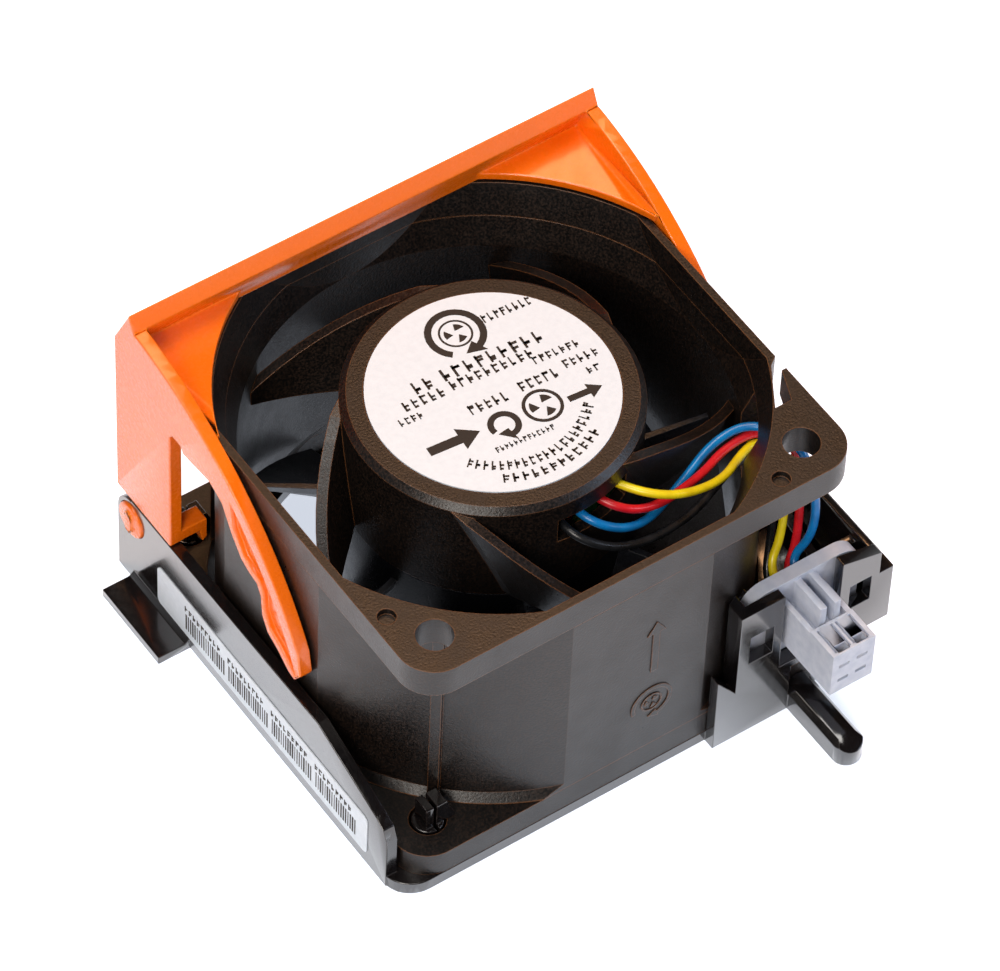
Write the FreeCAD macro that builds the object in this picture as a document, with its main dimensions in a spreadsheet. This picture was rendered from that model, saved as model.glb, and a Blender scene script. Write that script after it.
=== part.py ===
import FreeCAD, Part
import math
import os
from FreeCAD import Placement, Rotation, Vector
from Sketcher import Constraint

# A hot-plug server fan module: a 60 x 60 x 38 mm axial fan held in a moulded bracket, with a
# blind-mate connector, a guide blade and a swinging release handle.
# Frame: millimetres, +Z up along the fan axis, Z = 0 on the underside of the bracket,
# +Y towards the release handle, -Y towards the connector.

doc = FreeCAD.newDocument("fan_module")

# ---------------------------------------------------------------- driving dimensions

SIZES = {
    # fan frame
    "frame_side": 60.0, "frame_depth": 38.0, "corner_round": 4.5,
    "top_flange": 4.2, "low_flange": 3.6, "flange_fillet": 1.0,
    "duct_outer": 31.5, "duct_inner": 29.0, "mouth_radius": 31.7, "mouth_depth": 8.0,
    "inlet_radius": 30.6, "inlet_depth": 5.0, "flat_wall": 1.0,
    "hole_pitch": 50.0, "hole_bore": 4.4,
    "index_bore": 2.2, "index_depth": 0.9, "index_out": 3.0, "index_in": 5.0,
    "web_reach": 1.1, "web_thick": 1.3,
    "notch_back": -12.4, "notch_front": -15.2, "notch_floor": -19.3, "notch_lip": 1.2,
    "notch_deep": 4.5, "window_turn": -33.0, "window_width": 7.0, "window_height": 10.5,
    # motor base moulded into the frame
    "hub_radius": 17.5, "hub_wall": 1.4, "hub_top": 2.2, "hub_height": 14.8, "hub_rise": 0.2,
    "hub_round": 0.8, "label_radius": 14.65, "label_recess": 0.2, "label_thick": 0.3,
    "label_play": 0.1,
    "boss_wall": 1.5, "boss_depth": 5.0,
    "door_turn": -82.0, "door_width": 10.4, "door_height": 3.8, "door_drop": 5.0,
    "vane_count": 5, "vane_thick": 1.3, "vane_start": -140.0, "vane_sweep": 49.8,
    "vane_twist": 21.0, "vane_drop": 10.5, "vane_rise": 0.6, "vane_bend": 0.64,
    # bearing tube and bearings
    "tube_radius": 4.4, "tube_lift": 5.0, "bearing_outer": 3.5, "race_thick": 0.55,
    "bearing_width": 3.0, "bearing_inset": 1.5, "ball_play": 0.01, "ball_count": 7,
    "shield_thick": 0.15, "shield_play": 0.1, "tube_shoulder": 0.6,
    "shaft_radius": 1.5, "shaft_foot": 0.4, "shaft_groove": 0.35, "shaft_end": 0.3,
    "clip_thick": 0.4, "clip_reach": 1.0, "clip_play": 0.1, "clip_mouth": 1.4,
    "spring_wire": 0.3, "spring_turns": 2.5, "spring_play": 0.12,
    # stator
    "core_radius": 12.6, "core_lift": 6.7, "core_drop": 3.9, "pole_neck": 5.0,
    "pole_shoe": 1.6, "pole_gap": 2.4, "core_ring": 6.6, "insulator_thick": 1.0,
    "winding_thick": 2.0, "winding_clear": 0.3, "stake_radius": 0.6, "stake_place": 5.0,
    "stake_ring": 8.0, "neck_overlap": 0.4,
    # circuit board
    "board_radius": 14.6, "board_thick": 1.0, "board_lift": 1.0, "board_play": 0.2,
    "sensor_near": 12.0, "sensor_far": 13.6, "sensor_width": 3.8, "sensor_thick": 1.2,
    "chip_near": 8.4, "chip_far": 12.4, "chip_width": 5.2, "chip_thick": 1.6,
    "capacitor_radius": 2.1, "capacitor_height": 5.2, "capacitor_right": 6.5,
    "capacitor_back": 7.5, "choke_radius": 1.9, "choke_height": 3.4, "choke_left": 6.0,
    "choke_back": 8.2,
    # rotor
    "rotor_radius": 17.0, "rotor_wall": 1.0, "rotor_floor": 1.6, "rotor_gap": 0.8,
    "yoke_thick": 1.0, "yoke_drop": 0.4, "magnet_thick": 1.7, "magnet_lift": 4.7,
    "magnet_drop": 1.9, "rotor_boss": 3.2, "boss_height": 1.6, "inlet_clear": 3.0,
    "blade_count": 7, "blade_tip_gap": 0.7, "blade_thick": 1.3, "blade_pitch": 42.0,
    "blade_foot": 0.8, "blade_drop": 2.3, "blade_start": -163.6,
    # bracket
    "base_thick": 1.8, "airway_radius": 28.4, "wall_outer": 32.0, "wall_thick": 1.5,
    "wall_front": -27.0, "wall_back": 29.4, "wall_height": 14.4, "wall_kink": -12.7,
    "wall_kink_rise": 0.6, "wall_nose": -24.7, "wall_nose_height": 10.7, "wall_nose_low": 8.0,
    "rail_reach": 4.4, "rail_start": 13.9, "rail_end": 26.1, "rail_thick": 1.2, "rail_fillet": 0.7,
    "post_radius": 1.9, "barb_reach": 3.0, "barb_height": 3.4, "barb_width": 2.4,
    "barb_heel": 1.0, "barb_top": 1.8, "barb_step": 0.6, "post_slit": 0.4, "slit_place": 0.2,
    "slit_foot": 1.0, "post_play": 0.1,
    # connector pocket
    "pocket_left": 10.6, "pocket_front": -31.56, "pocket_wall": 1.5, "pocket_floor": 8.0,
    "pocket_floor_thick": 1.2, "shoulder_height": 12.35, "shoulder_notch": 8.7,
    "post_left": 13.3, "post_right": 19.45, "jamb_left": 27.6, "jamb_right": 33.2,
    "left_post_height": 22.4, "right_post_height": 22.6, "right_post_fall": 1.5,
    "step_right": 35.25, "step_height": 17.3, "pocket_rear": -14.0, "pocket_side": 1.5,
    "slot_gap": 2.2, "slot_back": 1.2, "jaw_reach": 3.6, "duct_clear": 0.3,
    "left_window_left": 14.9, "left_window_right": 18.2, "left_window_low": 13.1,
    "left_window_high": 17.9, "right_window_left": 29.0, "right_window_right": 32.05,
    "right_window_low": 13.35, "right_window_high": 17.5, "lower_wall_end": 21.3,
    # guide blade
    "guide_left": 21.3, "guide_width": 3.8, "guide_height": 3.4, "guide_ridge": 0.25,
    "guide_tip": -42.4, "guide_chamfer": 0.7, "guide_slope": 2.4, "guide_fall": 1.3,
    # release handle
    "pivot_back": 26.3, "pivot_height": 11.1, "pin_radius": 2.4, "pin_play": 0.06,
    "pin_reach": 0.35, "pin_ramp": 0.35, "ramp_width": 1.5, "ramp_length": 2.0,
    "ear_thick": 1.2, "ear_half": 3.1, "ear_high": 8.0, "ear_gap": 0.2, "seat_overlap": 0.5,
    "handle_wall": 1.7, "handle_gap": 0.3,
    "lip_rise": 7.9, "lip_rear": 26.3, "lip_front": 25.2, "lip_front_rise": 5.7,
    "lip_foot": 27.2, "shoulder_rise": 1.5,
    "panel_thick": 1.1, "panel_gap": 0.3, "panel_cut": 31.8, "panel_front": 10.6,
    "arm_radius": 42.6, "arm_centre_back": 29.2, "arm_sag": 0.2,
    "slot_front": 15.2, "slot_rear": 18.0, "slot_drop": 4.8,
    "hook_low": 14.8, "hook_high": 16.6, "hook_reach": 3.4, "hook_tooth": 1.0, "hook_drop": 2.2,
    "hook_length": 2.4, "arm_recess": 0.7, "arm_band": 2.2,
    # connector
    "plug_width": 6.0, "plug_height": 6.8, "plug_low": 12.0, "plug_front": -39.7,
    "plug_centre": 23.5, "flange_width": 16.2, "flange_top": 22.1, "flange_low": 9.4,
    "flange_thick": 1.8, "flange_rear": -27.9, "flange_round": 3.2, "rib_width": 0.9,
    "rib_space": 2.0,
    "rib_front": -34.8, "rib_top": 21.6, "channel_depth": 1.0, "cell_pitch": 2.54, "cell_side": 1.5,
    "block_length": 4.6, "block_rise": 0.3, "plug_tail": 1.0, "plug_wall": 0.7,
    "contact_length": 9.0, "contact_side": 1.3, "contact_sheet": 0.2, "cell_slit": 0.5,
    "face_wall": 0.7, "top_slit": 0.35,
    # leads and labels
    "lead_radius": 0.52, "lead_entry": 5.8, "lead_inside": 12.2, "strip_length": 43.9,
    "strip_height": 6.6, "strip_low": 1.9, "strip_front": -23.2, "strip_thick": 0.12,
    "strip_round": 0.8,
}

sheet = doc.addObject("Spreadsheet::Sheet", "sizes")
for row, (alias, value) in enumerate(SIZES.items(), start=1):
    sheet.set("A%d" % row, alias)
    sheet.set("B%d" % row, repr(value))
    sheet.setAlias("B%d" % row, alias)
doc.recompute()


class Size:
    """A length that knows its value and the sheet formula it comes from."""

    def __init__(self, value, formula):
        self.value = float(value)
        self.formula = formula

    def __add__(self, other):
        other = size(other)
        return Size(self.value + other.value, "(%s + %s)" % (self.formula, other.formula))

    def __sub__(self, other):
        other = size(other)
        return Size(self.value - other.value, "(%s - %s)" % (self.formula, other.formula))

    def __mul__(self, other):
        other = size(other)
        return Size(self.value * other.value, "(%s * %s)" % (self.formula, other.formula))

    def __truediv__(self, other):
        other = size(other)
        return Size(self.value / other.value, "(%s / %s)" % (self.formula, other.formula))

    def __neg__(self):
        return Size(-self.value, "(0 - %s)" % self.formula)

    def __radd__(self, other):
        return size(other) + self

    def __rsub__(self, other):
        return size(other) - self

    def __rmul__(self, other):
        return size(other) * self

    def __float__(self):
        return self.value


def size(number):
    """Any plain number as a Size."""
    return number if isinstance(number, Size) else Size(number, repr(float(number)))


class Sizes:
    """The spreadsheet's cells by name, so that s.frame_side is the cell's value and formula."""

    def __getattr__(self, alias):
        return Size(SIZES[alias], "sizes.%s" % alias)


s = Sizes()

# ---------------------------------------------------------------- building helpers


def bind(thing, **values):
    """Set properties from sizes; a double underscore in a name stands for a dot."""
    for name, value in values.items():
        thing.setExpression(name.replace("__", "."), size(value).formula)


def place(thing, x=0, y=0, z=0):
    bind(thing, Placement__Base__x=x, Placement__Base__y=y, Placement__Base__z=z)
    return thing


def box(name, x, y, z):
    """A block between two (low, high) pairs on each axis."""
    block = doc.addObject("Part::Box", name)
    bind(block, Length=size(x[1]) - x[0], Width=size(y[1]) - y[0], Height=size(z[1]) - z[0])
    return place(block, x[0], y[0], z[0])


def rod(name, radius, low, high, x=0, y=0):
    """A cylinder standing on the Z axis direction."""
    cylinder = doc.addObject("Part::Cylinder", name)
    bind(cylinder, Radius=radius, Height=size(high) - low)
    return place(cylinder, x, y, low)


def rod_along_x(name, radius, left, right, y, z):
    cylinder = doc.addObject("Part::Cylinder", name)
    cylinder.Placement = Placement(Vector(), Rotation(Vector(0, 1, 0), 90))
    bind(cylinder, Radius=radius, Height=size(right) - left)
    return place(cylinder, left, y, z)


def taper(name, low_radius, high_radius, low, high, x=0, y=0):
    cone = doc.addObject("Part::Cone", name)
    bind(cone, Radius1=low_radius, Radius2=high_radius, Height=size(high) - low)
    return place(cone, x, y, low)


def fuse(name, *pieces):
    joined = doc.addObject("Part::MultiFuse", name)
    joined.Shapes = list(pieces)
    return joined


def cut(name, base, *tools):
    carved = doc.addObject("Part::Cut", name)
    carved.Base = base
    carved.Tool = tools[0] if len(tools) == 1 else fuse(name + "_tools", *tools)
    return carved


def common(name, *pieces):
    shared = doc.addObject("Part::MultiCommon", name)
    shared.Shapes = list(pieces)
    return shared


def origin_plane(body, role):
    return [plane for plane in body.Origin.OriginFeatures if plane.Role == role][0]


def sketched(body, role, offset, points):
    """A closed outline on one of the body's planes, each corner held by two lengths."""
    sketch = body.newObject("Sketcher::SketchObject", body.Name + "_outline")
    sketch.AttachmentSupport = [(origin_plane(body, role), "")]
    sketch.MapMode = "FlatFace"
    bind(sketch, AttachmentOffset__Base__z=offset)
    corners = [(size(a), size(b)) for a, b in points]
    flat = [Vector(a.value, b.value, 0) for a, b in corners]
    count = len(flat)
    for i in range(count):
        sketch.addGeometry(Part.LineSegment(flat[i], flat[(i + 1) % count]), False)
    for i in range(count):
        sketch.addConstraint(Constraint("Coincident", i, 2, (i + 1) % count, 1))
    for i, (a, b) in enumerate(corners):
        for kind, length in (("DistanceX", a), ("DistanceY", b)):
            index = sketch.addConstraint(Constraint(kind, -1, 1, i, 1, length.value))
            sketch.setExpression("Constraints[%d]" % index, length.formula)
    return sketch


def prism(name, role, low, high, points):
    """A body padded from an outline, between two distances along the plane's normal."""
    body = doc.addObject("PartDesign::Body", name)
    sketch = sketched(body, role, low, points)
    pad = body.newObject("PartDesign::Pad", name + "_pad")
    pad.Profile = sketch
    bind(pad, Length=size(high) - low)
    return body


def turned(name, points):
    """A body revolved about the fan axis; the outline's points are (radius, height)."""
    body = doc.addObject("PartDesign::Body", name)
    sketch = sketched(body, "XZ_Plane", 0, points)
    turn = body.newObject("PartDesign::Revolution", name + "_turn")
    turn.Profile = sketch
    turn.ReferenceAxis = (sketch, ["V_Axis"])
    turn.Angle = 360
    return body


def round_edges(body, name, radius, wanted):
    """Round the edges of a body's last feature for which wanted(edge) holds."""
    doc.recompute()
    base = body.Tip
    names = ["Edge%d" % (i + 1) for i, edge in enumerate(base.Shape.Edges) if wanted(edge)]
    fillet = body.newObject("PartDesign::Fillet", name)
    fillet.Base = (base, names)
    bind(fillet, Radius=radius)
    body.Tip = fillet
    return body


def upright(edge):
    """True for a straight edge along Z."""
    ends = [v.Point for v in edge.Vertexes]
    return len(ends) == 2 and abs(ends[0].x - ends[1].x) < 1e-6 and abs(ends[0].y - ends[1].y) < 1e-6


def along_x(edge):
    ends = [v.Point for v in edge.Vertexes]
    return len(ends) == 2 and abs(ends[0].y - ends[1].y) < 1e-6 and abs(ends[0].z - ends[1].z) < 1e-6


def along_y(edge):
    ends = [v.Point for v in edge.Vertexes]
    return len(ends) == 2 and abs(ends[0].x - ends[1].x) < 1e-6 and abs(ends[0].z - ends[1].z) < 1e-6


def shaped(name, shape):
    """A node whose shape no parametric feature makes, such as a twisted blade."""
    feature = doc.addObject("Part::Feature", name)
    feature.Shape = shape
    return feature


nodes = {}


def node(name, thing):
    """Name a finished sub-part: its Label is the node's name."""
    thing.Label = name
    nodes[name] = thing
    return thing


# Heights that several pieces share.
frame_low = s.base_thick
frame_top = frame_low + s.frame_depth
half_side = s.frame_side / 2
hub_face = frame_top + s.hub_rise
hub_low = hub_face - s.hub_height
tube_top = hub_face - s.hub_top
rotor_low = frame_low + s.inlet_clear
rotor_high = hub_low - s.rotor_gap
tube_low = rotor_low + s.tube_lift
core_low = rotor_low + s.core_lift
core_high = rotor_high - s.core_drop
board_low = hub_low + s.board_lift

# ---------------------------------------------------------------- fan frame


def ruled_slab(sections):
    """A closed solid whose four-cornered sections are joined by ruled faces."""
    wires = [Part.makePolygon(list(corners) + [corners[0]]) for corners in sections]
    return Part.makeLoft(wires, True, True)


def stator_vane():
    """One curved vane, from inside the motor base's wall to inside the duct's wall."""
    start = s.hub_radius.value - s.hub_wall.value / 2
    end = s.duct_inner.value + s.flat_wall.value / 2
    run = s.duct_inner.value - s.hub_radius.value
    top = (hub_face - s.hub_round).value
    low = (hub_low + s.vane_rise).value
    steps = 10
    path = []
    for step in range(steps + 1):
        radius = start + (end - start) * step / steps
        share = max(radius - s.hub_radius.value, 0) / run
        bend = share ** s.vane_bend.value
        high_turn = s.vane_start.value + s.vane_sweep.value * bend
        low_turn = s.vane_start.value + s.vane_twist.value
        low_turn = low_turn + (s.vane_sweep.value - s.vane_twist.value) * bend
        height = top - s.vane_drop.value * share
        path.append((polar(radius, high_turn, height), polar(radius, low_turn, low)))
    sections = []
    for i, (high, foot) in enumerate(path):
        after = path[min(i + 1, steps)]
        before = path[max(i - 1, 0)]
        along = after[0] + after[1] - before[0] - before[1]
        side = Vector(-along.y, along.x, 0).normalize() * (s.vane_thick.value / 2)
        sections.append((high + side, high - side, foot - side, foot + side))
    return ruled_slab(sections)


def polar(radius, turn, height):
    angle = math.radians(turn)
    return Vector(radius * math.cos(angle), radius * math.sin(angle), height)


def around_axis(shape, count, first=0.0):
    """Copies of a shape turned about the fan axis, with their turn."""
    turned_copies = []
    for i in range(int(count.value)):
        copy = shape.copy()
        copy.rotate(Vector(), Vector(0, 0, 1), first + 360.0 * i / int(count.value))
        turned_copies.append(copy)
    return turned_copies


square = [(-half_side, -half_side), (half_side, -half_side), (half_side, half_side),
          (-half_side, half_side)]
frame_block = prism("frame_block", "XY_Plane", frame_low, frame_top, square)
round_edges(frame_block, "frame_corners", s.corner_round, upright)

waist_low = frame_low + s.low_flange
waist_high = frame_top - s.top_flange
waist_ring = cut("waist_ring",
                 box("waist_box", (-s.frame_side, s.frame_side), (-s.frame_side, s.frame_side),
                     (waist_low, waist_high)),
                 rod("waist_core", s.duct_outer, waist_low, waist_high),
                 taper("waist_fillet", s.duct_outer + s.flange_fillet, s.duct_outer,
                       waist_low, waist_low + s.flange_fillet))
corner_webs = []
for i, turn in enumerate((45, 135, 225)):
    web = doc.addObject("Part::Box", "corner_web_%d" % i)
    bind(web, Length=s.web_reach + s.flat_wall, Width=s.web_thick, Height=waist_high - waist_low)
    away = math.radians(turn)
    web.Placement = Placement(Vector(), Rotation(Vector(0, 0, 1), turn))
    reach = s.duct_outer - s.flat_wall
    side = s.web_thick / 2
    place(web, reach * math.cos(away) + side * math.sin(away),
          reach * math.sin(away) - side * math.cos(away), waist_low)
    corner_webs.append(web)

half_bore = half_side - s.flat_wall
duct_bore = common("duct_bore",
                   fuse("duct_bore_round",
                        rod("duct_throat", s.duct_inner, frame_low, frame_top),
                        taper("duct_mouth", s.duct_inner, s.mouth_radius,
                              frame_top - s.mouth_depth, frame_top),
                        taper("duct_inlet", s.inlet_radius, s.duct_inner, frame_low,
                              frame_low + s.inlet_depth)),
                   box("duct_bore_square", (-half_bore, half_bore), (-half_bore, half_bore),
                       (frame_low, frame_top)))

mount_holes = []
for i, (x_side, y_side) in enumerate(((-1, -1), (1, -1), (1, 1), (-1, 1))):
    mount_holes.append(rod("mount_hole_%d" % i, s.hole_bore / 2, frame_low, frame_top,
                           x_side * s.hole_pitch / 2, y_side * s.hole_pitch / 2))
index_out = s.hole_pitch / 2 + s.index_out
index_in = s.hole_pitch / 2 - s.index_in
index_holes = [
    rod("index_hole_front", s.index_bore / 2, frame_top - s.index_depth, frame_top,
        -index_out, -index_in),
    rod("index_hole_right", s.index_bore / 2, frame_top - s.index_depth, frame_top,
        index_in, -index_out),
]

# An open notch in the outlet flange beside the cable corner, with a barbed finger next to it.
notch_bend = half_side - s.notch_lip
cable_notch = prism("cable_notch", "XY_Plane", waist_high, frame_top, [
    (half_side + 1, s.notch_back), (notch_bend, s.notch_back - s.notch_lip * 1.3),
    (half_side - s.notch_deep, s.notch_floor), (half_side - s.notch_deep / 2, s.notch_floor),
    (half_side - s.notch_lip / 2, s.notch_front), (half_side + 1, s.notch_front)])

# The window through the duct wall that lets the leads out into the corner between the flanges.
window_turn = SIZES["window_turn"]
cable_window = doc.addObject("Part::Box", "cable_window")
cable_window.Placement = Placement(Vector(), Rotation(Vector(0, 0, 1), window_turn))
window_low = waist_high - s.window_height
bind(cable_window, Length=s.duct_outer - s.duct_inner + 6, Width=s.window_width,
     Height=waist_high - window_low)
window_reach = s.duct_inner - 3
window_angle = math.radians(window_turn)
place(cable_window,
      window_reach * math.cos(window_angle) + s.window_width / 2 * math.sin(window_angle),
      window_reach * math.sin(window_angle) - s.window_width / 2 * math.cos(window_angle),
      window_low)

frame_shell = cut("frame_shell", fuse("frame_solid", cut("frame_waisted", frame_block, waist_ring),
                                      *corner_webs),
                  duct_bore, cable_notch, cable_window, *(mount_holes + index_holes))

hub_inner = s.hub_radius - s.hub_wall
boss_radius = s.tube_radius + s.boss_wall
recess_radius = s.label_radius + s.label_play
motor_cup = turned("motor_cup", [
    (0, tube_top), (s.tube_radius, tube_top), (s.tube_radius, tube_top - s.boss_depth),
    (boss_radius, tube_top - s.boss_depth), (boss_radius, tube_top), (hub_inner, tube_top),
    (hub_inner, hub_low), (s.hub_radius, hub_low), (s.hub_radius, hub_face - s.hub_round),
    (s.hub_radius - s.hub_round, hub_face), (recess_radius, hub_face),
    (recess_radius, hub_face - s.label_recess), (0, hub_face - s.label_recess)])
lead_door_turn = SIZES["door_turn"]
lead_door = doc.addObject("Part::Box", "lead_door")
lead_door.Placement = Placement(Vector(), Rotation(Vector(0, 0, 1), lead_door_turn))
door_low = tube_top - s.door_drop
bind(lead_door, Length=s.hub_wall + 2, Width=s.door_width, Height=s.door_height)
door_reach = hub_inner - 1
door_angle = math.radians(lead_door_turn)
place(lead_door, door_reach * math.cos(door_angle) + s.door_width / 2 * math.sin(door_angle),
      door_reach * math.sin(door_angle) - s.door_width / 2 * math.cos(door_angle), door_low)

vanes = [shaped("vane_%d" % i, vane)
         for i, vane in enumerate(around_axis(stator_vane(), s.vane_count))]
for name, low, high in (("inlet_flange", frame_low, waist_low), ("duct_wall", waist_low, waist_high),
                        ("outlet_flange", waist_high, frame_top)):
    slab = box(name + "_slab", (-s.frame_side, s.frame_side), (-s.frame_side, s.frame_side),
               (low, high))
    node(name, common(name, frame_shell, slab))
node("motor_base", cut("motor_base", fuse("base_joined", motor_cup, *vanes), lead_door, frame_shell))

# ---------------------------------------------------------------- bearings and bearing tube

shoulder_radius = s.bearing_outer - s.tube_shoulder
upper_seat = tube_top - s.bearing_inset - s.bearing_width
lower_seat = tube_low
node("bearing_tube", turned("bearing_tube", [
    (s.bearing_outer, tube_low), (s.tube_radius, tube_low), (s.tube_radius, tube_top),
    (s.bearing_outer, tube_top), (s.bearing_outer, upper_seat), (shoulder_radius, upper_seat),
    (shoulder_radius, lower_seat + s.bearing_width),
    (s.bearing_outer, lower_seat + s.bearing_width)]))

inner_race = s.shaft_radius + s.race_thick
outer_race = s.bearing_outer - s.race_thick
ball_circle = (inner_race + outer_race) / 2
ball_radius = (outer_race - inner_race) / 2 - s.ball_play
shield_inner = inner_race + s.shield_play
for place_name, seat in (("upper", upper_seat), ("lower", lower_seat)):
    top = seat + s.bearing_width
    node(place_name + "_inner_race", turned(place_name + "_inner_race", [
        (s.shaft_radius, seat), (inner_race, seat), (inner_race, top), (s.shaft_radius, top)]))
    node(place_name + "_outer_race", turned(place_name + "_outer_race", [
        (outer_race, seat), (s.bearing_outer, seat), (s.bearing_outer, top), (outer_race, top)]))
    for end, low in (("a", seat), ("b", top - s.shield_thick)):
        name = "%s_shield_%s" % (place_name, end)
        node(name, turned(name, [
            (shield_inner, low), (outer_race, low), (outer_race, low + s.shield_thick),
            (shield_inner, low + s.shield_thick)]))
    for i in range(int(s.ball_count.value)):
        name = "%s_ball_%d" % (place_name, i + 1)
        ball = doc.addObject("Part::Sphere", name)
        bind(ball, Radius=ball_radius)
        turn = 2 * math.pi * i / int(s.ball_count.value)
        place(ball, ball_circle * math.cos(turn), ball_circle * math.sin(turn),
              seat + s.bearing_width / 2)
        node(name, ball)

# ---------------------------------------------------------------- stator

shoe_inner = s.core_radius - s.pole_shoe


def spokes(name, width, outer, low, high):
    """Four bars along X and Y, out to a radius."""
    return [box(name + "_x", (-outer, outer), (-width / 2, width / 2), (low, high)),
            box(name + "_y", (-width / 2, width / 2), (-outer, outer), (low, high))]


shoe_ring = cut("shoe_ring", rod("shoe_outer", s.core_radius, core_low, core_high),
                rod("shoe_inner", shoe_inner, core_low, core_high))
shoe_gaps = []
for turn in (45, 135):
    gap = doc.addObject("Part::Box", "pole_gap_%d" % turn)
    gap.Placement = Placement(Vector(), Rotation(Vector(0, 0, 1), turn))
    bind(gap, Length=s.core_radius * 2 + 2, Width=s.pole_gap, Height=core_high - core_low)
    reach = s.core_radius + 1
    side = s.pole_gap / 2
    angle = math.radians(turn)
    place(gap, -reach * math.cos(angle) + side * math.sin(angle),
          -reach * math.sin(angle) - side * math.cos(angle), core_low)
    shoe_gaps.append(gap)
node("stator_core", cut(
    "stator_core",
    fuse("core_solid", cut("pole_shoes", shoe_ring, *shoe_gaps),
         rod("core_yoke", s.core_ring, core_low, core_high),
         *spokes("pole_neck", s.pole_neck, shoe_inner + s.neck_overlap, core_low, core_high)),
    rod("core_bore", s.tube_radius, core_low, core_high)))

neck_end = shoe_inner + s.pole_shoe / 2
insulator_low = core_low - s.insulator_thick
insulator_high = core_high + s.insulator_thick
stakes = [rod("stake_%d" % i, s.stake_radius, core_high, board_low,
              x_side * s.stake_place, y_side * s.stake_place)
          for i, (x_side, y_side) in enumerate(((1, 1), (-1, 1), (-1, -1), (1, -1)))]
stake_ring = rod("stake_ring", s.stake_ring, core_high, insulator_high)
node("insulator_upper", cut(
    "insulator_upper",
    fuse("insulator_upper_solid", stake_ring,
         *(spokes("upper_arm", s.pole_neck, neck_end, core_high, insulator_high) + stakes)),
    rod("insulator_upper_bore", s.tube_radius, core_high, insulator_high)))
node("insulator_lower", cut(
    "insulator_lower",
    fuse("insulator_lower_solid", rod("insulator_ring", s.core_ring, insulator_low, core_low),
         *spokes("lower_arm", s.pole_neck, neck_end, insulator_low, core_low)),
    rod("insulator_lower_bore", s.tube_radius, insulator_low, core_low)))

coil_inner = s.stake_ring + s.winding_clear
coil_outer = shoe_inner - s.winding_clear
coil_half = s.pole_neck / 2 + s.winding_thick
coil_low = insulator_low - s.winding_thick
coil_high = insulator_high + s.winding_thick
for i, turn in enumerate((0, 90, 180, 270)):
    name = "winding_%d" % (i + 1)
    outside = box(name + "_outside", (coil_inner, coil_outer), (-coil_half, coil_half),
                  (coil_low, coil_high))
    hollow = box(name + "_hollow", (coil_inner - 1, coil_outer + 1),
                 (-s.pole_neck / 2, s.pole_neck / 2), (insulator_low, insulator_high))
    coil = common(name, cut(name + "_block", outside, hollow),
                  rod(name + "_limit", coil_outer, coil_low, coil_high))
    coil.Placement = Placement(Vector(), Rotation(Vector(0, 0, 1), turn))
    node(name, coil)

# ---------------------------------------------------------------- circuit board

board_top = board_low + s.board_thick
node("circuit_board", cut("circuit_board", rod("board_disc", s.board_radius, board_low, board_top),
                          rod("board_hole", s.tube_radius + s.board_play, board_low, board_top)))
node("hall_sensor", box("hall_sensor", (s.sensor_near, s.sensor_far),
                        (-s.sensor_width / 2, s.sensor_width / 2),
                        (board_low - s.sensor_thick, board_low)))
node("driver_chip", box("driver_chip", (-s.chip_far, -s.chip_near),
                        (-s.chip_width / 2, s.chip_width / 2),
                        (board_top, board_top + s.chip_thick)))
node("capacitor", rod("capacitor", s.capacitor_radius, board_top, board_top + s.capacitor_height,
                      s.capacitor_right, s.capacitor_back))
node("choke", rod("choke", s.choke_radius, board_top, board_top + s.choke_height,
                  -s.choke_left, s.choke_back))

# ---------------------------------------------------------------- rotor

yoke_outer = s.rotor_radius - s.rotor_wall
yoke_inner = yoke_outer - s.yoke_thick
magnet_inner = yoke_inner - s.magnet_thick
floor_top = rotor_low + s.rotor_floor
boss_top = floor_top + s.boss_height
rotor_cup = turned("rotor_cup", [
    (s.shaft_radius, rotor_low + s.shaft_foot), (s.shaft_radius, boss_top),
    (s.rotor_boss, boss_top), (s.rotor_boss, floor_top), (yoke_outer, floor_top),
    (yoke_outer, rotor_high), (s.rotor_radius, rotor_high),
    (s.rotor_radius, rotor_low + s.rotor_floor), (s.rotor_radius - s.rotor_floor, rotor_low),
    (0, rotor_low), (0, rotor_low + s.shaft_foot)])
blade_tip = s.duct_inner - s.blade_tip_gap


def rotor_blade():
    """A blade lofted through level sections that turn as they rise, against the stator vanes."""
    root = s.rotor_radius.value - s.rotor_wall.value / 2
    tip = blade_tip.value - 0.15
    half = s.blade_thick.value / 2
    low = (rotor_low + s.blade_foot).value
    rise = (rotor_high - s.blade_drop).value - low
    steps = 8
    wires = []
    for step in range(steps + 1):
        share = step / steps
        turn = s.blade_start.value - s.blade_pitch.value * (1 - share) ** 1.35
        height = low + rise * share
        swell = 0.55 + 0.45 * math.sin(math.pi * (0.15 + 0.75 * share))
        thick = half * swell
        along = polar(1, turn, 0)
        side = Vector(-along.y, along.x, 0)
        lift = Vector(0, 0, height)
        corners = [along * root - side * thick, along * tip - side * thick * 0.6,
                   along * tip + side * thick * 0.6, along * root + side * thick]
        corners = [corner + lift for corner in corners]
        wires.append(Part.makePolygon(corners + [corners[0]]))
    return Part.makeLoft(wires, True, True)


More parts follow.
